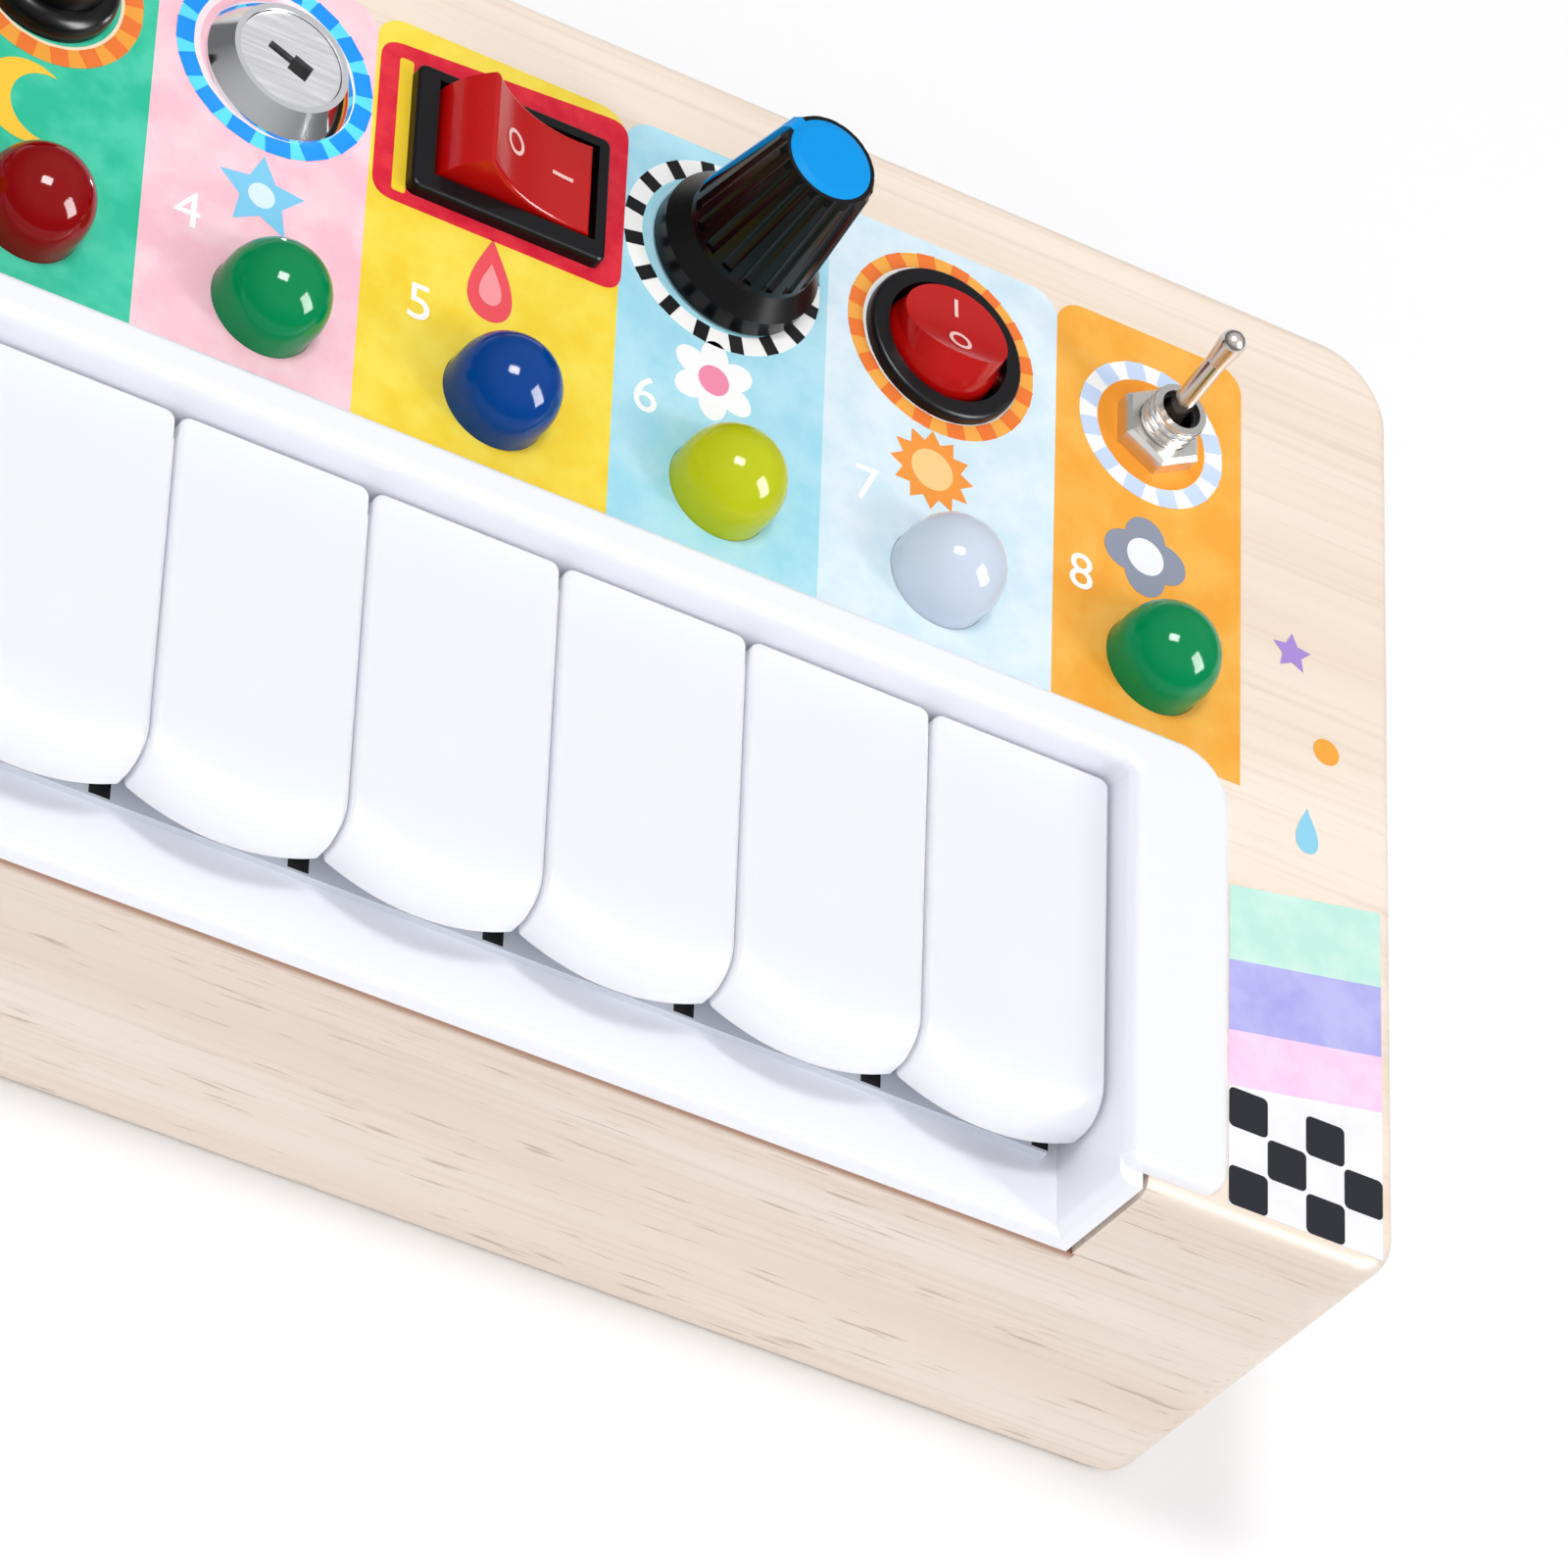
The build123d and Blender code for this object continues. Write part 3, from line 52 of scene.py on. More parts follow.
def addNode(tree, kind, inputs=None, stops=(), **settings):
    # stops are the two places and colours of a colour ramp
    node = tree.nodes.new(kind)
    for key, value in settings.items():
        setattr(node, key, value)
    for key, value in (inputs or {}).items():
        if isinstance(value, bpy.types.NodeSocket):
            tree.links.new(value, node.inputs[key])
        else:
            node.inputs[key].default_value = value
    for i, (spot, colour) in enumerate(stops):
        node.color_ramp.elements[i].position = spot
        node.color_ramp.elements[i].color = colour
    return node


def newMaterial(name, values):
    material = bpy.data.materials.new(name)
    material.use_nodes = True
    tree = material.node_tree
    tree.nodes.clear()
    shader = addNode(tree, "ShaderNodeBsdfPrincipled", values)
    addNode(tree, "ShaderNodeOutputMaterial", {"Surface": shader.outputs["BSDF"]})
    return material, tree, shader


def grain(tree, cellMm, detail, roughness=0.5):
    # soft noise with cells of this size along each axis of the piece
    place = addNode(tree, "ShaderNodeTexCoord")
    stretch = addNode(tree, "ShaderNodeMapping",
                      {"Vector": place.outputs["Object"], "Scale": [1000 / size for size in cellMm]})
    noise = addNode(tree, "ShaderNodeTexNoise", {"Vector": stretch.outputs["Vector"], "Scale": 1.0,
                                                 "Detail": detail, "Roughness": roughness})
    return noise.outputs["Fac"]


# materials

woodLook = {
    "roughness": 0.48, "ior": 1.5,
    "pale": "#F9EADA", "deep": "#F0DCC9", "bandMm": (120, 7, 7), "bandStops": (0.32, 0.68),
    "fibre": "#DEC6B2", "fibreMm": (45, 0.7, 0.7), "fibreStops": (0.5, 0.8), "fibreShare": 0.5,
    "pore": "#A98B76", "poreMm": (7, 0.5, 0.5), "poreStops": (0.66, 0.76), "poreShare": 0.5,
    # side is a cool tint multiplied into the front and side faces below the top: painted shade
    "side": "#EFF1F4", "sideBelow": (0.4, 0.1), "topShare": 0.15, "bump": 0.12, "bumpMm": 0.1,
    # a darker brown band on the front face just under the keyboard tray's lower edge
    "seamBand": "#A57A63",
    "cut": {"z": 27.7, "fade": (1.1, 0.3), "x": 0.8, "half": 74.0, "y": -40.0, "over": 0.05},
}


def sandedBeech():
    # beech block, sanded and clear coated: pale, broad soft bands and short dark pores along its length
    look = woodLook
    material, tree, shader = newMaterial(
        "sandedBeech", {"Roughness": look["roughness"], "IOR": look["ior"]})
    place = addNode(tree, "ShaderNodeTexCoord")
    spot = addNode(tree, "ShaderNodeSeparateXYZ", {"Vector": place.outputs["Object"]})
    bands = addNode(tree, "ShaderNodeValToRGB", {"Fac": grain(tree, look["bandMm"], detail=3)},
                    list(zip(look["bandStops"], (rgb(look["deep"]), rgb(look["pale"])))))
    fibres = grain(tree, look["fibreMm"], detail=2)
    fibreMask = addNode(tree, "ShaderNodeMapRange", {
        "Value": fibres, "From Min": look["fibreStops"][0], "From Max": look["fibreStops"][1],
        "To Max": look["fibreShare"]})
    poreMask = addNode(tree, "ShaderNodeMapRange", {
        "Value": grain(tree, look["poreMm"], detail=1), "From Min": look["poreStops"][0],
        "From Max": look["poreStops"][1], "To Max": look["poreShare"]})
    # the top face is sanded finer, so the streaks stay on the sides; the same mask multiplies a cool tint
    # into the sides, painted shade that keeps them darker than the top
    sidesGrainAndShade = addNode(tree, "ShaderNodeMapRange", {
        "Value": spot.outputs["Z"], "From Min": (panel["top"] - look["sideBelow"][0]) * mm,
        "From Max": (panel["top"] - look["sideBelow"][1]) * mm, "To Min": 1.0, "To Max": look["topShare"]})
    streaks = addNode(tree, "ShaderNodeMath", {0: poreMask.outputs["Result"], 1: sidesGrainAndShade.outputs["Result"]},
                      operation="MULTIPLY")
    # a thin darker brown band on the front face, just under the keyboard tray's lower edge and fading
    # downwards
    cut = look["cut"]
    fade = addNode(tree, "ShaderNodeMapRange", {
        "Value": spot.outputs["Z"], "From Min": (cut["z"] - cut["fade"][0]) * mm,
        "From Max": (cut["z"] - cut["fade"][1]) * mm})
    seamBandMask = fade.outputs["Result"]
    for operation, values in (("COMPARE", {0: spot.outputs["X"], 1: cut["x"] * mm, 2: cut["half"] * mm}),
                              ("LESS_THAN", {0: spot.outputs["Y"], 1: cut["y"] * mm}),
                              ("LESS_THAN", {0: spot.outputs["Z"], 1: (cut["z"] + cut["over"]) * mm})):
        mask = addNode(tree, "ShaderNodeMath", values, operation=operation)
        seamBandMask = addNode(tree, "ShaderNodeMath", {0: seamBandMask, 1: mask.outputs["Value"]},
                           operation="MULTIPLY").outputs["Value"]
    colour = bands.outputs["Color"]
    # the side tint is painted shade: the front and side faces darker and cooler than the top
    coats = ((fibreMask.outputs["Result"], "fibre", "MIX"), (streaks.outputs["Value"], "pore", "MIX"),
             (sidesGrainAndShade.outputs["Result"], "side", "MULTIPLY"), (seamBandMask, "seamBand", "MIX"))
    for share, tone, blend in coats:
        colour = addNode(tree, "ShaderNodeMix", {0: share, 6: colour, 7: rgb(look[tone])},
                         data_type="RGBA", blend_type=blend).outputs[2]
    tree.links.new(colour, shader.inputs["Base Color"])
    bump = addNode(tree, "ShaderNodeBump",
                   {"Height": fibres, "Strength": look["bump"], "Distance": look["bumpMm"] * mm})
    tree.links.new(bump.outputs["Normal"], shader.inputs["Normal"])
    return material


plywoodLook = {"roughness": 0.7, "dark": "#C9A878", "light": "#E2CBA2",
               "fibreMm": (60, 1.4, 1.4), "stops": (0.3, 0.7)}


def rawPlywood():
    # unfinished plywood sheet: darker than the block, open fibres, no gloss
    look = plywoodLook
    material, tree, shader = newMaterial("rawPlywood", {"Roughness": look["roughness"]})
    tone = addNode(tree, "ShaderNodeValToRGB", {"Fac": grain(tree, look["fibreMm"], detail=4)},
                   list(zip(look["stops"], (rgb(look["dark"]), rgb(look["light"])))))
    tree.links.new(tone.outputs["Color"], shader.inputs["Base Color"])
    return material


mouldTexture = {"cellMm": 0.35, "depthMm": 0.05}


def mouldedPlastic(name, hexText, roughness, texture=0.03, **more):
    # injection moulded: even colour, a fine tool texture breaks the gloss
    material, tree, shader = newMaterial(name, {"Base Color": rgb(hexText), "Roughness": roughness, **more})
    bump = addNode(tree, "ShaderNodeBump", {"Height": grain(tree, (mouldTexture["cellMm"],) * 3, detail=2),
                                            "Strength": texture, "Distance": mouldTexture["depthMm"] * mm})
    tree.links.new(bump.outputs["Normal"], shader.inputs["Normal"])
    return material


foamLook = {"foam": "#DCE0EA", "slotShade": "#1B1C20", "roughness": 0.95, "ior": 1.4, "shadeX": 0.2, "half": 0.95,
            "shadeY": -39.75, "halfDepth": 1.0, "endX": 68.7}


def foamWithPaintedShade():
    # closed-cell foam, cut: dull and pale, with dark patches painted under each gap between the keys and
    # past the last key, painted shade where one looks into the dark space under the keys
    look = foamLook
    material, tree, shader = newMaterial("greyFoam", {"Roughness": look["roughness"], "IOR": look["ior"]})
    place = addNode(tree, "ShaderNodeTexCoord")
    spot = addNode(tree, "ShaderNodeSeparateXYZ", {"Vector": place.outputs["Object"]})
    reach = keyRow["pitch"] / 2
    wrapped = addNode(tree, "ShaderNodeMath", {
        0: spot.outputs["X"], 1: (look["shadeX"] + reach) * mm, 2: (look["shadeX"] - reach) * mm},
        operation="WRAP")
    across = addNode(tree, "ShaderNodeMath", {
        0: wrapped.outputs["Value"], 1: look["shadeX"] * mm, 2: look["half"] * mm}, operation="COMPARE")
    atEnd = addNode(tree, "ShaderNodeMath", {0: spot.outputs["X"], 1: look["endX"] * mm},
                    operation="GREATER_THAN")
    either = addNode(tree, "ShaderNodeMath", {0: across.outputs["Value"], 1: atEnd.outputs["Value"]},
                     operation="MAXIMUM")
    along = addNode(tree, "ShaderNodeMath", {
        0: spot.outputs["Y"], 1: look["shadeY"] * mm, 2: look["halfDepth"] * mm}, operation="COMPARE")
    shadeMask = addNode(tree, "ShaderNodeMath", {0: either.outputs["Value"], 1: along.outputs["Value"]},
                    operation="MULTIPLY")
    # the dark patches are painted shade, not holes in the foam
    colour = addNode(tree, "ShaderNodeMix", {
        0: shadeMask.outputs["Value"], 6: rgb(look["foam"]), 7: rgb(look["slotShade"])}, data_type="RGBA")
    tree.links.new(colour.outputs[2], shader.inputs["Base Color"])
    return material


lensLook = {"roughness": 0.08, "specular": 0.2, "depthShare": 0.35, "leastRadius": 0.15}


def tintedEpoxy(name, hexText, depthMm):
    # cast lens of coloured epoxy: light goes in a few millimetres, the skin is glassy
    look = lensLook
    colour = rgb(hexText)
    return newMaterial(name, {
        "Base Color": colour, "Roughness": look["roughness"], "Specular IOR Level": look["specular"],
        "Subsurface Weight": look["depthShare"], "Subsurface Scale": depthMm * mm,
        "Subsurface Radius": [look["leastRadius"] + c for c in colour[:3]]})[0]


brushing = {"stops": (0.3, 0.7), "range": (0.85, 1.25)}


def platedMetal(name, hexText, roughness, streakMm=None):
    # plated brass or steel: mirror with a slight haze, drawn finer where it was brushed
    material, tree, shader = newMaterial(
        name, {"Base Color": rgb(hexText), "Metallic": 1.0, "Roughness": roughness})
    if streakMm:
        (low, high), (smooth, hazy) = brushing["stops"], brushing["range"]
        haze = addNode(tree, "ShaderNodeMapRange", {
            "Value": grain(tree, streakMm, detail=3), "From Min": low, "From Max": high,
            "To Min": roughness * smooth, "To Max": roughness * hazy})
        tree.links.new(haze.outputs["Result"], shader.inputs["Roughness"])
    return material


inkLook = {"roughness": 0.5, "specular": 0.2, "washStops": (0.38, 0.62)}


def washedInk(name, hexA, hexB, cellMm=5.0):
    # screen print with a watercolour wash: two near tones in soft blotches
    material, tree, shader = newMaterial(
        name, {"Roughness": inkLook["roughness"], "Specular IOR Level": inkLook["specular"]})
    tone = addNode(tree, "ShaderNodeValToRGB", {"Fac": grain(tree, (cellMm,) * 3, detail=3, roughness=0.6)},
                   list(zip(inkLook["washStops"], (rgb(hexA), rgb(hexB)))))
    tree.links.new(tone.outputs["Color"], shader.inputs["Base Color"])
    return material


def plainInk(name, hexText, roughness=inkLook["roughness"]):
    # one flat pass of screen ink
    return newMaterial(name, {"Base Color": rgb(hexText), "Roughness": roughness,
                              "Specular IOR Level": inkLook["specular"]})[0]


beech = sandedBeech()
plywood = rawPlywood()
whiteAbs = mouldedPlastic("whiteAbs", "#F1F3F9", 0.4)
keyAbs = mouldedPlastic("keyAbs", "#F1F2F9", 0.24, 0.015, **{
    "Subsurface Weight": 0.6, "Subsurface Scale": 2.5 * mm, "Subsurface Radius": (1, 1, 1)})
blackAbs = mouldedPlastic("blackAbs", "#0B0A0E", 0.34, **{"Specular IOR Level": 0.2})
blackGloss = mouldedPlastic("blackGloss", "#060507", 0.26, 0.02, **{"Specular IOR Level": 0.22})
blackNylon = mouldedPlastic("blackNylon", "#121214", 0.5, **{"Specular IOR Level": 0.3})
blueCap = mouldedPlastic("blueCap", "#0097E6", 0.3, **{"Specular IOR Level": 0.12})
redPolycarbonate = mouldedPlastic("redPolycarbonate", "#BE0C0A", 0.16, 0.01, **{"Specular IOR Level": 0.32})
silicone = mouldedPlastic("silicone", "#DCDCD8", 0.6)
circuitBoard = mouldedPlastic("circuitBoard", "#2C6B40", 0.4)
greyFoam = foamWithPaintedShade()
paperCone = mouldedPlastic("paperCone", "#29292B", 0.8)
ferrite = mouldedPlastic("ferrite", "#38383A", 0.55)
cellSleeve = mouldedPlastic("cellSleeve", "#3B6EA8", 0.3)
redLens = tintedEpoxy("redLens", "#8C0206", 1.5)
greenLens = tintedEpoxy("greenLens", "#018A50", 1.5)
blueLens = tintedEpoxy("blueLens", "#02418F", 1.5)
limeLens = tintedEpoxy("limeLens", "#BFC71A", 2.0)
milkyLens = tintedEpoxy("milkyLens", "#CCD6E5", 3.0)
nickel = platedMetal("nickel", "#D2CFCA", 0.16)
nutNickel = platedMetal("nutNickel", "#D8D6D2", 0.3)  # pressed, so duller than the turned bushing
chrome = platedMetal("chrome", "#E4E5E7", 0.09)
leverNickel = platedMetal("leverNickel", "#D3C9C2", 0.2)
brushedChrome = platedMetal("brushedChrome", "#E2E2E4", 0.34, (6, 0.25, 6))
zincSteel = platedMetal("zincSteel", "#B4B6B9", 0.32)
turnedAluminium = platedMetal("turnedAluminium", "#C3C5C8", 0.3)
markInk = plainInk("markInk", "#F6C9C4")

nodeLooks = {
    "wood_body": beech, "base_panel": plywood, "base_screws": zincSteel,
    "key_tray": whiteAbs, "tray_screws": zincSteel, "key_rod": zincSteel, "key_board": circuitBoard,
    "key_stop_strip": greyFoam,
    "lamp_red": redLens, "lamps_green": greenLens, "lamp_blue": blueLens, "lamps_lime": limeLens,
    "lamps_milky": milkyLens, "lamp_board": circuitBoard, "main_board": circuitBoard,
    "board_posts": blackNylon, "board_screws": zincSteel,
    "toggle_bodies": nickel, "toggle_nuts": nutNickel,
    "toggle_lever_1": leverNickel, "toggle_lever_8": leverNickel,
    "round_rocker_bodies": blackAbs, "round_rocker_2": redPolycarbonate, "round_rocker_7": redPolycarbonate,
    "rect_rocker_body": blackAbs, "rect_rocker": redPolycarbonate,
    "pot_body": zincSteel, "pot_nut": nickel, "pot_shaft": turnedAluminium,
    "knob_body": blackGloss, "knob_cap": blueCap,
    "lock_barrel": chrome, "lock_plug": brushedChrome, "panel_nuts": nickel,
    "push_button_body": blackGloss, "push_button_cap": blackAbs,
    "speaker_frame": zincSteel, "speaker_cone": paperCone, "speaker_magnet": ferrite,
    "battery_box": blackNylon, "battery_door": blackNylon, "battery_door_screw": zincSteel,
    "battery_cells": cellSleeve, "battery_contacts": nickel,
}
for number in range(1, 9):
    nodeLooks[f"key_{number}"] = keyAbs
    nodeLooks[f"key_dome_{number}"] = silicone
for name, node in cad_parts.items():
    node.data.materials.clear()
    node.data.materials.append(nodeLooks[name])
print("materials on", len(nodeLooks), "nodes")


# mesh helpers, sizes in millimetres

def finishPiece(name, mesh, material, body="board"):
    mesh.name = name
    mesh.materials.clear()
    mesh.materials.append(material)
    piece = bpy.data.objects.new(name, mesh)
    scene.collection.objects.link(piece)
    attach(piece, body)


def closedMesh(shape):
    bmesh.ops.recalc_face_normals(shape, faces=shape.faces)
    mesh = bpy.data.meshes.new("piece")
    shape.to_mesh(mesh)
    shape.free()
    return mesh


def platesMesh(outlines, low, high):
    # closed flat plates from their outlines
    shape = bmesh.new()
    for outline in outlines:
        bottom = [shape.verts.new((x * mm, y * mm, low * mm)) for x, y in outline]
        top = [shape.verts.new((x * mm, y * mm, high * mm)) for x, y in outline]
        shape.faces.new(top)
        shape.faces.new(bottom[::-1])
        for i in range(len(outline)):
            j = (i + 1) % len(outline)
            shape.faces.new((bottom[i], bottom[j], top[j], top[i]))
    return closedMesh(shape)


def piercedMesh(outline, holes, low, high):
    # one closed flat plate with openings
    loops = [outline] + holes
    flat = [Vector((x, y, 0)) for loop in loops for x, y in loop]
    triangles = tessellate_polygon([[Vector((x, y, 0)) for x, y in loop] for loop in loops])
    shape = bmesh.new()
    bottom = [shape.verts.new((v.x * mm, v.y * mm, low * mm)) for v in flat]
    top = [shape.verts.new((v.x * mm, v.y * mm, high * mm)) for v in flat]
    for triangle in triangles:
        shape.faces.new([top[i] for i in triangle])
        shape.faces.new([bottom[i] for i in reversed(triangle)])
    start = 0
    for loop in loops:
        for k in range(len(loop)):
            i, j = start + k, start + (k + 1) % len(loop)
            shape.faces.new((bottom[i], bottom[j], top[j], top[i]))
        start += len(loop)
    return closedMesh(shape)


def circlePoints(x, y, radius, count=64):
    angles = [2 * math.pi * i / count for i in range(count)]
    return [(x + radius * math.cos(a), y + radius * math.sin(a)) for a in angles]


def ringMesh(centre, inner, outer, low, high, segments=96):
    # a washer around centre
    shape = bmesh.new()
    loops = []
    for radius, z in ((inner, low), (outer, low), (outer, high), (inner, high)):
        loops.append([shape.verts.new((x * mm, y * mm, z * mm))
                      for x, y in circlePoints(*centre, radius, segments)])
    for a in range(4):
        b = (a + 1) % 4
        for i in range(segments):
            j = (i + 1) % segments
            shape.faces.new((loops[a][i], loops[a][j], loops[b][j], loops[b][i]))
    return closedMesh(shape)


def roundedBox(x0, y0, x1, y1, radii, steps=8):
    # a rectangle with its own radius at each corner: front left, front right, back right, back left
    points = []
    corners = ((x0, y0, 1, 1, 180), (x1, y0, -1, 1, 270), (x1, y1, -1, -1, 0), (x0, y1, 1, -1, 90))
    for (x, y, sx, sy, start), radius in zip(corners, radii):
        if radius == 0:
            points.append((x, y))
            continue
        for i in range(steps + 1):
            angle = math.radians(start + 90 * i / steps)
            points.append((x + sx * radius + radius * math.cos(angle),
                           y + sy * radius + radius * math.sin(angle)))
    return points


def placedAt(outline, x, y, size):
    return [(x + size * a, y + size * b) for a, b in outline]


def evaluatedMesh(carrier):
    # the carrier's evaluated shape as a plain mesh; the carrier goes
    bpy.context.view_layer.update()
    graph = bpy.context.evaluated_depsgraph_get()
    result = bpy.data.meshes.new_from_object(carrier.evaluated_get(graph))
    carrier.modifiers.clear()
    bpy.data.objects.remove(carrier)
    return result


def newTree(name, sockets):
    tree = bpy.data.node_groups.new(name, "GeometryNodeTree")
    ids = {}
    for label, kind in sockets:
        ids[label] = tree.interface.new_socket(name=label, in_out="INPUT", socket_type=kind).identifier
    tree.interface.new_socket(name="Geometry", in_out="OUTPUT", socket_type="NodeSocketGeometry")
    return tree, ids, addNode(tree, "NodeGroupInput")


def runTree(tree, ids, values):
    carrier = bpy.data.objects.new("carrier", bpy.data.meshes.new("carrier"))
    scene.collection.objects.link(carrier)
    modifier = carrier.modifiers.new("shape", "NODES")
    modifier.node_group = tree
    for label, value in values.items():
        modifier[ids[label]] = value
    return evaluatedMesh(carrier)


# a ring of short printed dashes
def dashTree():
    tree, ids, given = newTree("dashRing", [
        ("Count", "NodeSocketInt"), ("Radius", "NodeSocketFloat"), ("Size", "NodeSocketVector"),
        ("Centre", "NodeSocketVector"), ("Turn", "NodeSocketVector"), ("Ink", "NodeSocketMaterial")])
    circle = addNode(tree, "GeometryNodeMeshCircle",
                     {"Vertices": given.outputs["Count"], "Radius": given.outputs["Radius"]})
    spot = addNode(tree, "GeometryNodeInputPosition")
    facing = addNode(tree, "FunctionNodeAlignRotationToVector",
                     {"Vector": spot.outputs["Position"]}, axis="X")
    dash = addNode(tree, "GeometryNodeMeshCube", {"Size": given.outputs["Size"]})
    placed = addNode(tree, "GeometryNodeInstanceOnPoints",
                     {"Points": circle.outputs["Mesh"], "Instance": dash.outputs["Mesh"],
                      "Rotation": facing.outputs["Rotation"]})
    real = addNode(tree, "GeometryNodeRealizeInstances", {"Geometry": placed.outputs["Instances"]})
    moved = addNode(tree, "GeometryNodeTransform",
                    {"Geometry": real.outputs["Geometry"], "Translation": given.outputs["Centre"],
                     "Rotation": given.outputs["Turn"]})
    inked = addNode(tree, "GeometryNodeSetMaterial",
                    {"Geometry": moved.outputs["Geometry"], "Material": given.outputs["Ink"]})
    addNode(tree, "NodeGroupOutput", {"Geometry": inked.outputs["Geometry"]})
    return tree, ids


# a stack of thread crests round a bushing
def threadTree(hoopSteps=48, crestSteps=8):
    tree, ids, given = newTree("threadCrests", [
        ("Count", "NodeSocketInt"), ("Pitch", "NodeSocketVector"), ("Radius", "NodeSocketFloat"),
        ("Crest", "NodeSocketFloat"), ("Start", "NodeSocketVector"), ("Metal", "NodeSocketMaterial")])
    line = addNode(tree, "GeometryNodeMeshLine",
                   {"Count": given.outputs["Count"], "Start Location": given.outputs["Start"],
                    "Offset": given.outputs["Pitch"]})
    hoop = addNode(tree, "GeometryNodeCurvePrimitiveCircle",
                   {"Resolution": hoopSteps, "Radius": given.outputs["Radius"]})
    section = addNode(tree, "GeometryNodeCurvePrimitiveCircle",
                      {"Resolution": crestSteps, "Radius": given.outputs["Crest"]})
    crest = addNode(tree, "GeometryNodeCurveToMesh",
                    {"Curve": hoop.outputs["Curve"], "Profile Curve": section.outputs["Curve"]})
    placed = addNode(tree, "GeometryNodeInstanceOnPoints",
                     {"Points": line.outputs["Mesh"], "Instance": crest.outputs["Mesh"]})
    real = addNode(tree, "GeometryNodeRealizeInstances", {"Geometry": placed.outputs["Instances"]})
    coated = addNode(tree, "GeometryNodeSetMaterial",
                     {"Geometry": real.outputs["Geometry"], "Material": given.outputs["Metal"]})
    addNode(tree, "NodeGroupOutput", {"Geometry": coated.outputs["Geometry"]})
    return tree, ids


# thin coats of ink on the panel, each level above the last
inkLayer = {"first": 0.02, "step": 0.04}


def layer(level):
    low = panel["top"] + inkLayer["first"] + level * inkLayer["step"]
    return low, low + inkLayer["step"]


# openings in the print: a radius round each control, a box for the rectangular switch, one round each lamp
openings = {"control": (2.7, 7.0, 5.8, 5.8, None, 4.4, 7.0, 2.7), "shift": {5: 0.4}, "lamp": 4.78,
            "box": (1.66, 23.1, 19.06, 35.0)}
boxOpening = [(openings["box"][i], openings["box"][j]) for i, j in ((0, 1), (2, 1), (2, 3), (0, 3))]

# coloured columns behind the controls
columns = {
    "edges": [-84.8, -64.2, -44.6, -22.78, -2.67, 21.18, 41.33, 64.24, 83.21],
    "backY": 39.8, "frontY": -4.0, "corner": 2.6,
    "tones": [("#FF9C88", "#FFB09C"), ("#B8B2EE", "#CBC6F5"), ("#24C099", "#4AD0AC"),
              ("#FBC2D0", "#FFD6DF"), ("#F7D434", "#FBE352"), ("#A0DCEE", "#B8E6F4"),
              ("#D3EAF6", "#E4F2FA"), ("#F7A836", "#FAB84E")],
}
for i, (toneA, toneB) in enumerate(columns["tones"]):
    left, right = columns["edges"][i:i + 2]
    outline = roundedBox(left, columns["frontY"], right, columns["backY"],
                         (0, 0, columns["corner"], columns["corner"]))
    holes = [circlePoints(rowX[i] + panel["lampShift"], panel["lampY"], openings["lamp"])]
    if openings["control"][i]:
        controlX = rowX[i] + openings["shift"].get(i, 0)
        holes.append(circlePoints(controlX, panel["controlY"], openings["control"][i]))
    else:
        holes.append(boxOpening)
    finishPiece(f"printColumn{i + 1}", piercedMesh(outline, holes, *layer(0)),
                washedInk(f"columnInk{i + 1}", toneA, toneB))
print("columns printed")

# dashed rings round the controls; base, line and disc are tone, inner and outer radius,
# dash is tone, count, depth and length
rings = {
    0: {"shift": (0, 0), "base": ("#FBF7F4", 5.4, 7.3), "dash": ("#F7A9BE", 12, 1.9, 1.9),
        "disc": ("#F2745E", 3.2, 5.4)},
    1: {"shift": (0, 0.2), "base": ("#BFF0D8", 7.8, 9.26), "dash": ("#8ADDB8", 16, 1.46, 1.7),
        "line": ("#FFFFFF", 7.5, 7.8)},
    2: {"shift": (0.35, -0.05), "base": ("#F9A63C", 6.8, 8.5), "dash": ("#F57B30", 16, 1.7, 1.6),
        "line": ("#FFE9C8", 6.5, 6.8)},
    3: {"shift": (-0.36, 0.62), "base": ("#5CDDFB", 7.5, 9.1), "dash": ("#0C93F2", 15, 1.6, 2.3),
        "line": ("#FBE9EE", 6.9, 7.5)},
    5: {"shift": (-0.31, -0.02), "base": ("#FDFDFB", 7.8, 9.57), "dash": ("#0B0B0E", 16, 1.77, 1.3),
        "line": ("#A6E4F0", 7.5, 7.8)},
    6: {"shift": (-0.03, 0.2), "base": ("#FBAE48", 7.8, 9.26), "dash": ("#F57B30", 16, 1.46, 1.7),
        "line": ("#FFFFFF", 7.5, 7.8)},
    7: {"shift": (-0.13, 0.08), "base": ("#FAF9F8", 5.5, 7.3), "dash": ("#C9DBF8", 12, 1.8, 1.9),
        "disc": ("#F59A28", 3.2, 5.5)},
}
dashes, dashIds = dashTree()
for i, look in rings.items():
    centre = (rowX[i] + look["shift"][0], panel["controlY"] + look["shift"][1])
    for part, pieceName in (("base", "Ring"), ("line", "Line"), ("disc", "Disc")):
        if part in look:
            tone, inner, outer = look[part]
            finishPiece(f"print{pieceName}{i + 1}", ringMesh(centre, inner, outer, *layer(1)),
                        plainInk(f"{pieceName.lower()}Ink{i + 1}", tone))
    inner, outer = look["base"][1:]
    tone, count, depth, length = look["dash"]
    low, high = layer(2)
    ink = plainInk(f"dashInk{i + 1}", tone)
    mesh = runTree(dashes, dashIds, {
        "Count": count, "Radius": (inner + outer) / 2 * mm,
        "Size": (depth * mm, length * mm, (high - low) * mm),
        "Centre": (centre[0] * mm, centre[1] * mm, (low + high) / 2 * mm),
        "Turn": (0.0, 0.0, math.pi / count), "Ink": ink})
    finishPiece(f"printDashes{i + 1}", mesh, ink)


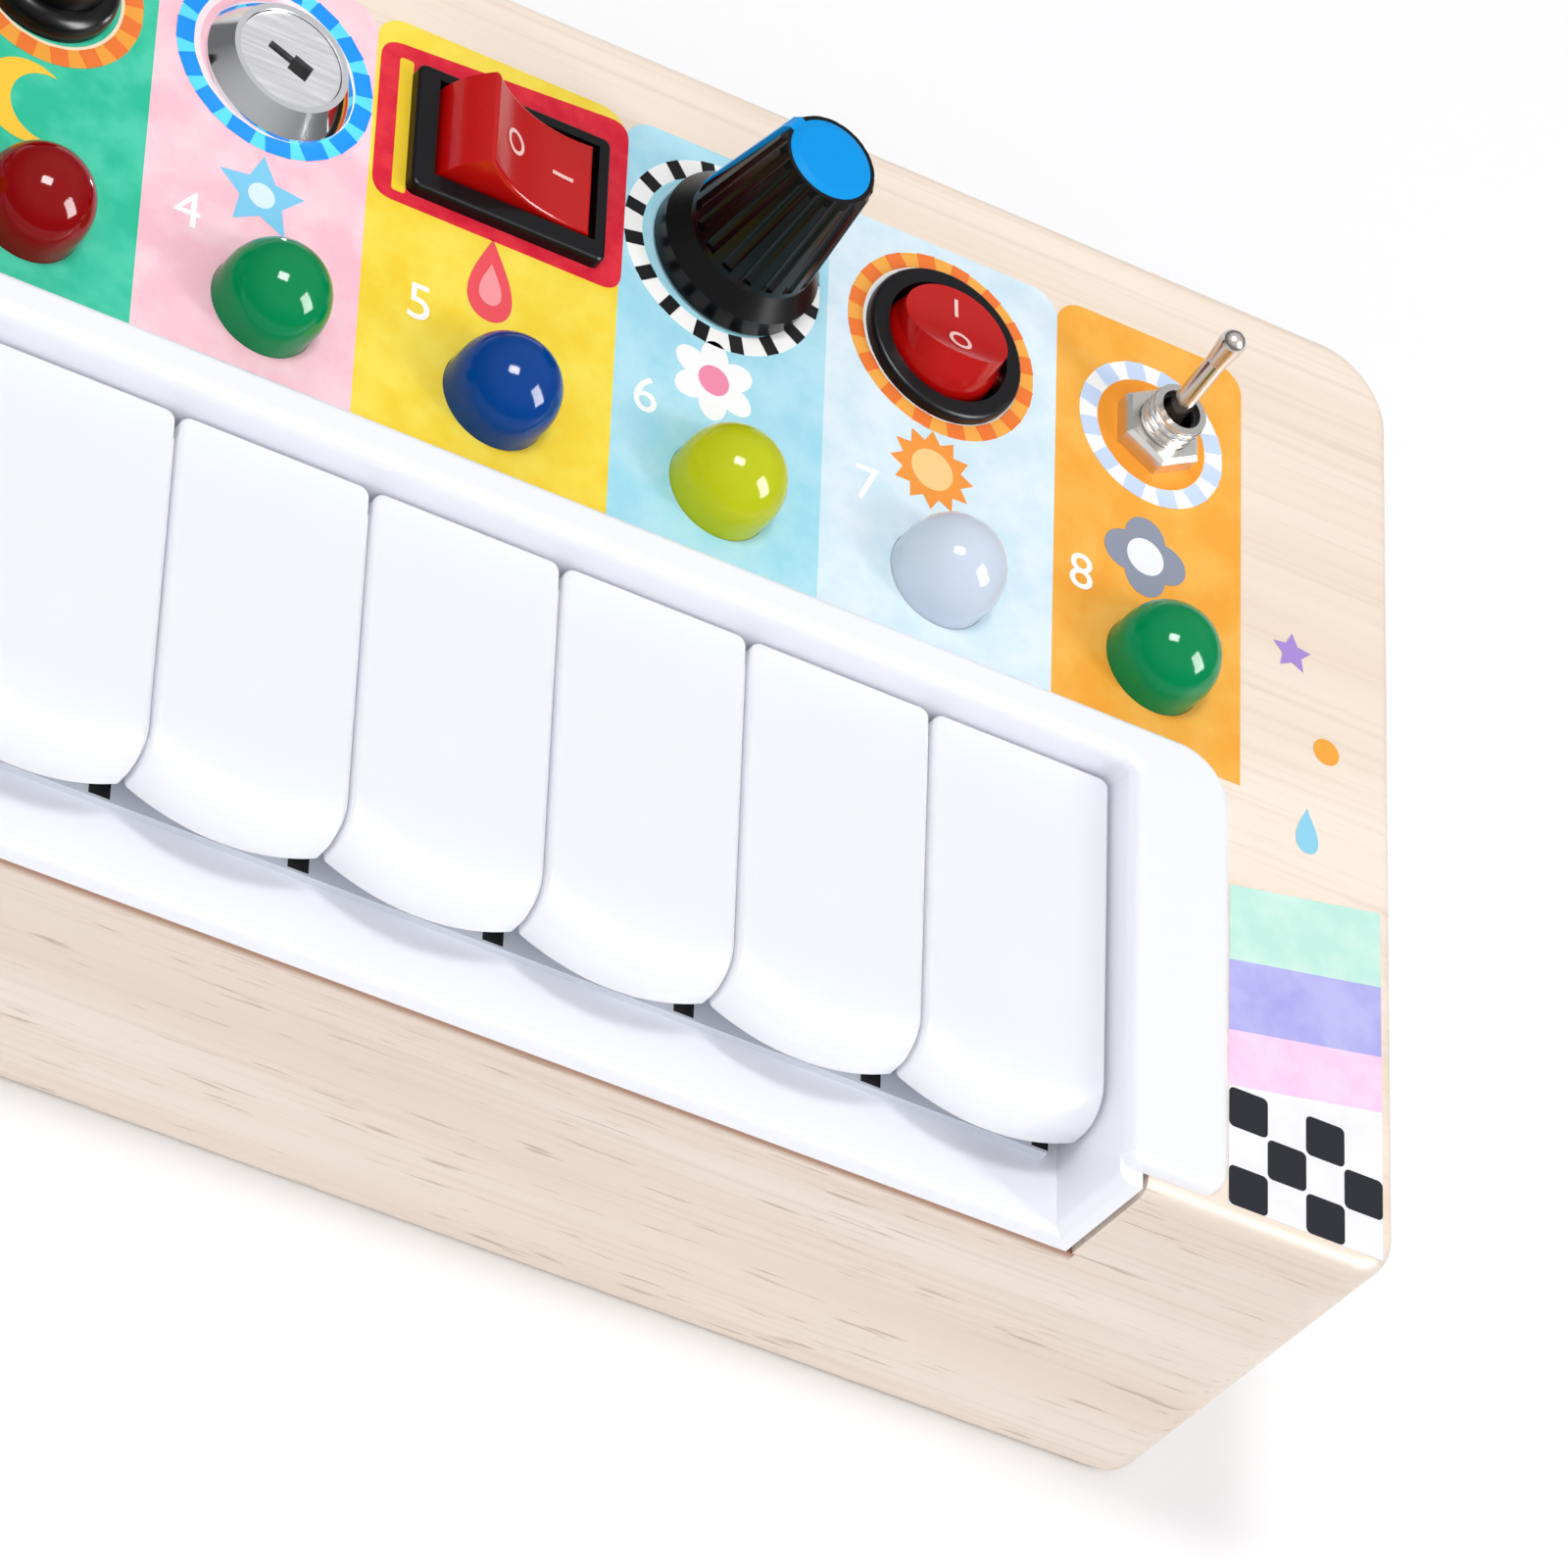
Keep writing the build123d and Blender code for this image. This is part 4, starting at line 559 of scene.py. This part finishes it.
# red frame of the rectangular switch, printed slightly out of square
def softCorners(corners, radius, steps=6):
    points = []
    count = len(corners)
    for i in range(count):
        before, here, after = (Vector(corners[(i + k) % count]) for k in (-1, 0, 1))
        start = here + (before - here).normalized() * radius
        end = here + (after - here).normalized() * radius
        for k in range(steps + 1):
            t = k / steps
            points.append(tuple(start * (1 - t) ** 2 + here * 2 * t * (1 - t) + end * t * t))
    return points


rectFrame = {"corners": [(-2.30, 20.85), (21.37, 20.79), (21.44, 38.88), (-2.28, 37.25)], "round": 2.0,
             "tones": ("#D90A30", "#E82A3C"), "washMm": 2.5,
             "strip": [(-0.5, 21.9), (0.8, 21.9), (0.8, 35.9), (-0.5, 35.9)], "stripRound": 0.3,
             "stripTone": "#F9D22E"}
outline = softCorners(rectFrame["corners"], rectFrame["round"])
finishPiece("printFrame", piercedMesh(outline, [boxOpening], *layer(1)),
            washedInk("frameInk", *rectFrame["tones"], rectFrame["washMm"]))
outline = softCorners(rectFrame["strip"], rectFrame["stripRound"], 3)
finishPiece("printStrip", platesMesh([outline], *layer(2)),
            plainInk("stripInk", rectFrame["stripTone"]))
print("rings and frame printed")


# plain shapes and numbers between the controls and the lamps, about one unit in radius
def polar(count, reach):
    # points at even angles from the top; reach gives the radius for a share of the turn
    points = []
    for i in range(count):
        angle = math.pi / 2 + 2 * math.pi * i / count
        points.append((reach(i / count) * math.cos(angle), reach(i / count) * math.sin(angle)))
    return points


def star(points, inner):
    return polar(2 * points, lambda t: 1 if round(t * 2 * points) % 2 == 0 else inner)


def petals(count, depth, steps=96):
    return polar(steps, lambda t: 1 - depth + depth * abs(math.cos(math.pi * count * t)))


def disc(steps=48):
    return polar(steps, lambda t: 1)


def heart(steps=72):
    # the usual heart curve, brought down to one unit
    points = []
    for i in range(steps):
        a = 2 * math.pi * i / steps
        rise = 13 * math.cos(a) - 5 * math.cos(2 * a) - 2 * math.cos(3 * a) - math.cos(4 * a)
        points.append((0.96 * math.sin(a) ** 3, rise / 16 + 0.15))
    return points


def crescent():
    # the two arcs meet in the horns at 54 and 306 degrees
    outer = [math.radians(a) for a in range(54, 307, 6)]
    hollow = [math.radians(a) for a in range(272, 86, -6)]
    return ([(math.cos(a), math.sin(a)) for a in outer]
            + [(0.46 + 0.82 * math.cos(a), 0.82 * math.sin(a)) for a in hollow])


def drop(steps=60):
    # pointed at the top, widest below the middle
    return [(0.72 * math.sin(a) * math.sin(a / 2) ** 1.4, 0.25 + math.cos(a) * 1.05)
            for a in [2 * math.pi * i / steps for i in range(steps)]]


def kite():
    return [(0, 1), (0.72, 0.15), (0, -1), (-0.72, 0.15)]


# each shape: outline and tone, inner outline and tone, share of the size that the inner one has
motifs = {
    "offset": (-1.0, 11.0), "size": 4.1,
    "numberOffset": (-7.4, 6.6), "numberSize": 5.2, "numberTone": "#FFFFFF", "numberCurve": 6,
    "shapes": [(kite(), "#7A6BD8", kite(), "#C9C2F7", 0.5),
               (heart(), "#F0679E", heart(), "#FBB6D2", 0.5),
               (crescent(), "#FCCB3A", disc(), "#FCCB3A", 0.0),
               (star(5, 0.5), "#7FCDF0", disc(), "#DDF3FC", 0.3),
               (drop(), "#F0505A", drop(), "#F99BA0", 0.5),
               (petals(6, 0.34), "#FDFDFD", disc(), "#F58FB0", 0.36),
               (star(12, 0.72), "#F79A3C", disc(), "#FBD08A", 0.5),
               (petals(4, 0.3), "#8F96A8", disc(), "#F4F5F8", 0.45)],
}
for i, (outline, tone, innerOutline, innerTone, share) in enumerate(motifs["shapes"]):
    x = rowX[i] + panel["lampShift"] + motifs["offset"][0]
    y = panel["lampY"] + motifs["offset"][1]
    size = motifs["size"]
    finishPiece(f"printMotif{i + 1}", platesMesh([placedAt(outline, x, y, size)], *layer(1)),
                plainInk(f"motifInk{i + 1}", tone))
    if share:
        inner = placedAt(innerOutline, x, y, size * share)
        finishPiece(f"printHeart{i + 1}", platesMesh([inner], *layer(2)),
                    plainInk(f"heartInk{i + 1}", innerTone))
    digit = bpy.data.curves.new(f"number{i + 1}", "FONT")
    digit.body = str(i + 1)
    digit.size = motifs["numberSize"] * mm
    digit.align_x = "CENTER"
    digit.align_y = "CENTER"
    digit.extrude = inkLayer["step"] / 2 * mm
    digit.resolution_u = motifs["numberCurve"]
    carrier = bpy.data.objects.new(f"number{i + 1}Carrier", digit)
    scene.collection.objects.link(carrier)
    mesh = evaluatedMesh(carrier)
    numberX = rowX[i] + panel["lampShift"] + motifs["numberOffset"][0]
    numberY = panel["lampY"] + motifs["numberOffset"][1]
    mesh.transform(Matrix.Translation((numberX * mm, numberY * mm, sum(layer(1)) / 2 * mm)))
    finishPiece(f"printNumber{i + 1}", mesh, plainInk(f"numberInk{i + 1}", motifs["numberTone"]))
print("motifs printed")

# bands, checks and small shapes on the side margins
margin = {"right": (82.2, 97.4), "left": (-97.4, -86.6), "frontY": -46.0,
          "tilt": {"right": 1.5, "left": -1.5},
          "bands": [("#BFEBDD", "#D2F2E6", -13.0, -20.5), ("#A9A8EA", "#BDBCF2", -20.5, -27.5),
                    ("#F7C6EC", "#FBD9F3", -27.5, -33.0), ("#F1F0F5", "#F6F5F9", -33.0, -46.0)],
          "check": 3.8, "checkRows": 3, "checkColumns": 4, "checkRound": 0.5, "checkTone": "#1C1D27",
          "slack": 0.01}
for side in ("right", "left"):
    x0, x1 = margin[side]
    title = side.title()
    for i, (toneA, toneB, top, bottom) in enumerate(margin["bands"]):
        lift = margin["tilt"][side]
        isLast = i == len(margin["bands"]) - 1
        lowLift = 0 if isLast else lift  # the last band ends straight at the front edge
        shape = [(x0, bottom - lowLift), (x1, bottom + lowLift), (x1, top + lift), (x0, top - lift)]
        finishPiece(f"printBand{title}{i + 1}", platesMesh([shape], *layer(0)),
                    washedInk(f"bandInk{title}{i + 1}", toneA, toneB))
    squares = []
    size = margin["check"]
    for row in range(margin["checkRows"]):
        for col in range(margin["checkColumns"]):
            if (row + col) % 2 == 0 and x0 + (col + 1) * size <= x1 + margin["slack"]:
                squares.append(roundedBox(x0 + col * size, margin["frontY"] + row * size,
                                          x0 + (col + 1) * size, margin["frontY"] + (row + 1) * size,
                                          (margin["checkRound"],) * 4, 4))
    finishPiece(f"printChecks{title}", platesMesh(squares, *layer(1)),
                plainInk(f"checkInk{title}", margin["checkTone"]))
confetti = [(star(5, 0.5), "#A98BD6", 88.5, 12.0, 2.0), (disc(), "#F6A83C", 92.0, 3.0, 1.3),
            (drop(), "#8FD2EC", 90.0, -6.5, 2.2), (disc(), "#A98BD6", -91.5, 14.0, 1.4),
            (kite(), "#F6A83C", -93.5, 4.0, 2.0), (star(5, 0.5), "#8FD2EC", -90.5, -5.5, 2.0)]
for i, (outline, tone, x, y, size) in enumerate(confetti):
    finishPiece(f"printConfetti{i + 1}", platesMesh([placedAt(outline, x, y, size)], *layer(0)),
                plainInk(f"confettiInk{i + 1}", tone))
print("margins printed")

# ledge along the right side of each key that closes the gap to the next one
ledge = {"play": 0.07, "root": 0.05, "rear": -9.4, "noseY": -37.4, "noseZ": 34.3, "reach": (2.6, 2.3),
         "thick": 0.8, "steps": 10}
reachY, reachZ = ledge["reach"]
ledgeTop = ledge["noseZ"] + reachZ
outline = [(ledge["rear"], ledgeTop - ledge["thick"]), (ledge["rear"], ledgeTop)]
for inner in (0.0, ledge["thick"]):
    curve = []
    for i in range(ledge["steps"] + 1):
        angle = math.radians(90 * i / ledge["steps"])
        curve.append((ledge["noseY"] - (reachY - inner) * math.sin(angle),
                      ledge["noseZ"] + (reachZ - inner) * math.cos(angle)))
    outline += curve if inner == 0 else curve[::-1]
sideways = Matrix(((0, 0, 1, 0), (1, 0, 0, 0), (0, 1, 0, 0), (0, 0, 0, 1)))  # the outline stands on edge
for number in range(1, 8):
    side = keyRow["shift"] + keyRow["pitch"] * (number - 4.5) + keyRow["halfWidth"]
    mesh = piercedMesh(outline, [], side - ledge["root"], side + keyRow["gap"] - ledge["play"])
    mesh.transform(sideways)
    finishPiece(f"keyLedge{number}", mesh, whiteAbs, f"key_{number}")
print("key ledges made")

# thread and black seal of the two toggle bushings
bushing = {"columns": (0, 7), "radius": 2.47, "crest": 0.16, "pitch": 0.8, "count": 3, "start": 41.5,
           "seal": (1.62, 1.88, 42.6, 43.0), "sealSegments": 48}
threads, threadIds = threadTree()
for i in bushing["columns"]:
    mesh = runTree(threads, threadIds, {
        "Count": bushing["count"], "Pitch": (0.0, 0.0, bushing["pitch"] * mm),
        "Radius": bushing["radius"] * mm, "Crest": bushing["crest"] * mm,
        "Start": (rowX[i] * mm, panel["controlY"] * mm, bushing["start"] * mm), "Metal": nickel})
    finishPiece(f"toggleThread{i + 1}", mesh, nickel)
    seal = ringMesh((rowX[i], panel["controlY"]), *bushing["seal"], bushing["sealSegments"])
    finishPiece(f"toggleSeal{i + 1}", seal, blackNylon)


# on and off marks on the dished rocker faces
def dishedMesh(quads, seat, height, lift, thick, weld=1e-7):
    # quads of (x, y) on the face; height gives the dish at (x, y)
    shape = bmesh.new()
    for quad in quads:
        top = [shape.verts.new(seat @ Vector((x, y, height(x, y) + lift + thick)) * mm) for x, y in quad]
        bottom = [shape.verts.new(seat @ Vector((x, y, height(x, y) + lift)) * mm) for x, y in quad]
        shape.faces.new(top)
        shape.faces.new(bottom[::-1])
        for i in range(4):
            j = (i + 1) % 4
            shape.faces.new((bottom[i], bottom[j], top[j], top[i]))
    bmesh.ops.remove_doubles(shape, verts=shape.verts, dist=weld)
    # the walls between neighbouring quads go
    inner = [f for f in shape.faces if all(len(e.link_faces) > 2 for e in f.edges)]
    bmesh.ops.delete(shape, geom=inner, context="FACES_ONLY")
    return closedMesh(shape)


def barQuads(cx, cy, lengthX, lengthY, steps=6):
    # a bar cut across its longer side, so that it can follow the dish
    quads = []
    for i in range(steps):
        if lengthY >= lengthX:
            x0, x1 = cx - lengthX / 2, cx + lengthX / 2
            y0 = cy - lengthY / 2 + lengthY * i / steps
            y1 = y0 + lengthY / steps
        else:
            y0, y1 = cy - lengthY / 2, cy + lengthY / 2
            x0 = cx - lengthX / 2 + lengthX * i / steps
            x1 = x0 + lengthX / steps
        quads.append([(x0, y0), (x1, y0), (x1, y1), (x0, y1)])
    return quads


def hoopQuads(cx, cy, inner, outer, steps=32):
    inside, outside = (circlePoints(cx, cy, radius, steps) for radius in (inner, outer))
    quads = []
    for i in range(steps):
        j = (i + 1) % steps
        quads.append([outside[i], outside[j], inside[j], inside[i]])
    return quads


def dishAt(face, radius, offset):
    # height of a face hollowed to this radius, so far from its middle line
    return face["rise"] - face["dish"] + radius - math.sqrt(radius ** 2 - offset ** 2)


marks = {"lift": 0.05, "thick": 0.06, "line": 0.34}
roundFace = {"columns": (1, 6), "tilt": -12, "pivotZ": 38.0, "rise": 4.2, "short": 4.2, "dish": 0.6,
             "barY": 2.1, "bar": 1.9, "hoopY": -2.0, "hoop": 0.75}
roundRadius = (roundFace["short"] ** 2 + roundFace["dish"] ** 2) / (2 * roundFace["dish"])
roundQuads = (barQuads(0, roundFace["barY"], marks["line"], roundFace["bar"])
              + hoopQuads(0, roundFace["hoopY"], roundFace["hoop"], roundFace["hoop"] + marks["line"]))
for i in roundFace["columns"]:
    seat = Matrix.Translation((rowX[i], panel["controlY"], roundFace["pivotZ"])) @ Matrix.Rotation(
        math.radians(roundFace["tilt"]), 4, "X")
    mesh = dishedMesh(roundQuads, seat, lambda x, y: dishAt(roundFace, roundRadius, y),
                      marks["lift"], marks["thick"])
    finishPiece(f"roundMarks{i + 1}", mesh, markInk, f"round_rocker_{i + 1}")
rectFace = {"column": 4, "tilt": 18.7, "shiftX": 0.51, "shiftY": 0.1, "pivotZ": 38.4, "rise": 4.3,
            "swing": 7.3, "dish": 1.3, "barX": 3.2, "bar": 2.0, "hoopX": -2.5, "hoop": 0.85}
ridge = math.sqrt(rectFace["swing"] ** 2 - rectFace["rise"] ** 2)
rectRadius = (ridge ** 2 + rectFace["dish"] ** 2) / (2 * rectFace["dish"])
rectQuads = (barQuads(rectFace["barX"], 0, rectFace["bar"], marks["line"])
             + hoopQuads(rectFace["hoopX"], 0, rectFace["hoop"], rectFace["hoop"] + marks["line"]))
pivot = (rowX[rectFace["column"]] + rectFace["shiftX"], panel["controlY"] + rectFace["shiftY"],
         rectFace["pivotZ"])
seat = Matrix.Translation(pivot) @ Matrix.Rotation(math.radians(rectFace["tilt"]), 4, "Y")
mesh = dishedMesh(rectQuads, seat, lambda x, y: dishAt(rectFace, rectRadius, x),
                  marks["lift"], marks["thick"])
finishPiece("rectMarks", mesh, markInk, "rect_rocker")

# painted shade: a black plate a little below the face of the plug stands for the dark depth of the key slot
keyway = {"column": 3, "turn": -22.6, "low": 40.3, "high": 40.6, "inset": 0.03,
          "slotShade": (-2.15, 0.15, 0.425), "block": (0.15, 2.0, 0.925), "drop": 0.08}
inset = keyway["inset"]
slotStart, slotEnd, slotHalf = keyway["slotShade"]
blockStart, blockEnd, blockHalf = keyway["block"]
blockLow, blockHigh = -blockHalf - keyway["drop"] + inset, blockHalf - keyway["drop"] - inset
outline = [(slotStart + inset, -slotHalf + inset), (slotEnd + inset, -slotHalf + inset),
           (blockStart + inset, blockLow), (blockEnd - inset, blockLow),
           (blockEnd - inset, blockHigh), (blockStart + inset, blockHigh),
           (slotEnd + inset, slotHalf - inset), (slotStart + inset, slotHalf - inset)]
turnCos, turnSin = (f(math.radians(keyway["turn"])) for f in (math.cos, math.sin))
keywayX = rowX[keyway["column"]]
placed = [(keywayX + x * turnCos - y * turnSin, panel["controlY"] + x * turnSin + y * turnCos)
          for x, y in outline]
finishPiece("keywayShade", platesMesh([placed], keyway["low"], keyway["high"]), blackNylon,
            "lock_plug")
print("switch details made")

# floor, world and lights; the cards are seen by glossy rays alone and give the highlights
studio = {
    "floor": "#FBFBFC", "floorReach": 3.0, "floorRoughness": 0.9, "target": (0.03, 0, 0.035),
    "sky": "#FDFDFF", "world": 0.62, "mirrorLow": 0.3, "mirrorHigh": 1.2, "mirrorRise": (0.25, 0.7),
    "lights": {
        "overhead": {"from": (-0.25, 0.04, 0.97), "distance": 0.9, "size": (0.14, 0.18), "watts": 2.3},
        "sideStrip": {"from": (0.72, -0.33, 0.61), "distance": 0.9, "size": (0.12, 0.34), "watts": 1.7},
        "frontFill": {"from": (-0.40, -0.80, 0.45), "distance": 1.2, "size": (1.2, 1.2), "watts": 3.2}},
    "cards": {
        "topCard": {"from": (-0.25, 0.04, 0.97), "distance": 0.85, "size": (0.22, 0.28), "watts": 9.0},
        "sideCard": {"from": (0.72, -0.33, 0.61), "distance": 0.85, "size": (0.3, 0.5), "watts": 15.0}},
}
half = studio["floorReach"]
floorMesh = bpy.data.meshes.new("studioFloor")
floorCorners = [(-half, -half, 0), (half, -half, 0), (half, half, 0), (-half, half, 0)]
floorMesh.from_pydata(floorCorners, [], [(0, 1, 2, 3)])
floorMesh.materials.append(plainInk("paperFloor", studio["floor"], studio["floorRoughness"]))
floor = bpy.data.objects.new("studioFloor", floorMesh)
scene.collection.objects.link(floor)

world = bpy.data.worlds.new("softWhite")
scene.world = world
world.use_nodes = True
sky = world.node_tree
sky.nodes.clear()
path = addNode(sky, "ShaderNodeLightPath")
seen = addNode(sky, "ShaderNodeMath", {
    0: path.outputs["Is Camera Ray"], 1: path.outputs["Is Transmission Ray"]}, operation="MAXIMUM")
strength = addNode(sky, "ShaderNodeMapRange",
                   {"Value": seen.outputs["Value"], "To Min": studio["world"], "To Max": 1.0})
# mirrors see a bright ceiling and dim walls
aim = addNode(sky, "ShaderNodeTexCoord")
rise = addNode(sky, "ShaderNodeSeparateXYZ", {"Vector": aim.outputs["Generated"]})
ceiling = addNode(sky, "ShaderNodeMapRange", {
    "Value": rise.outputs["Z"], "From Min": studio["mirrorRise"][0], "From Max": studio["mirrorRise"][1],
    "To Min": studio["mirrorLow"], "To Max": studio["mirrorHigh"]})
mirrored = addNode(sky, "ShaderNodeMix",
                   {0: path.outputs["Is Glossy Ray"], 2: 1.0, 3: ceiling.outputs["Result"]})
dimmed = addNode(sky, "ShaderNodeMath", {0: strength.outputs["Result"], 1: mirrored.outputs[0]},
                 operation="MULTIPLY")
glow = addNode(sky, "ShaderNodeBackground",
               {"Color": rgb(studio["sky"]), "Strength": dimmed.outputs["Value"]})
addNode(sky, "ShaderNodeOutputWorld", {"Surface": glow.outputs["Background"]})

for group in ("lights", "cards"):
    for name, look in studio[group].items():
        lamp = bpy.data.lights.new(name, "AREA")
        lamp.shape = "RECTANGLE"
        lamp.size, lamp.size_y = look["size"]
        lamp.energy = look["watts"]
        holder = bpy.data.objects.new(name, lamp)
        scene.collection.objects.link(holder)
        holder.visible_glossy = group == "cards"
        holder.visible_diffuse = group == "lights"
        towards = Vector(look["from"]).normalized()
        holder.location = Vector(studio["target"]) + towards * look["distance"]
        holder.rotation_euler = towards.to_track_quat("Z", "Y").to_euler()

# camera at the photo's angle: near top view from the front left, rolled
view = {"right": (0.849766, 0.033139, 0.526117), "down": (0.330694, -0.810737, -0.483060),
        "ahead": (0.410535, 0.584472, -0.699896), "spot": (-0.26292, -0.44685, 0.54913),
        "lens": 208.04, "sensor": 36, "shift": (0.0175, -0.0131), "nearest": 0.02}
camera = bpy.data.cameras.new("photoCamera")
camera.sensor_width = view["sensor"]
camera.lens = view["lens"]
camera.shift_x, camera.shift_y = view["shift"]
camera.clip_start = view["nearest"]
cameraHolder = bpy.data.objects.new("photoCamera", camera)
scene.collection.objects.link(cameraHolder)
right, down, ahead = (Vector(view[k]) for k in ("right", "down", "ahead"))
turn = Matrix((right, -down, -ahead)).transposed().to_4x4()
cameraHolder.matrix_world = Matrix.Translation(view["spot"]) @ turn
scene.camera = cameraHolder
scene.view_settings.view_transform = "Standard"
print("studio ready")
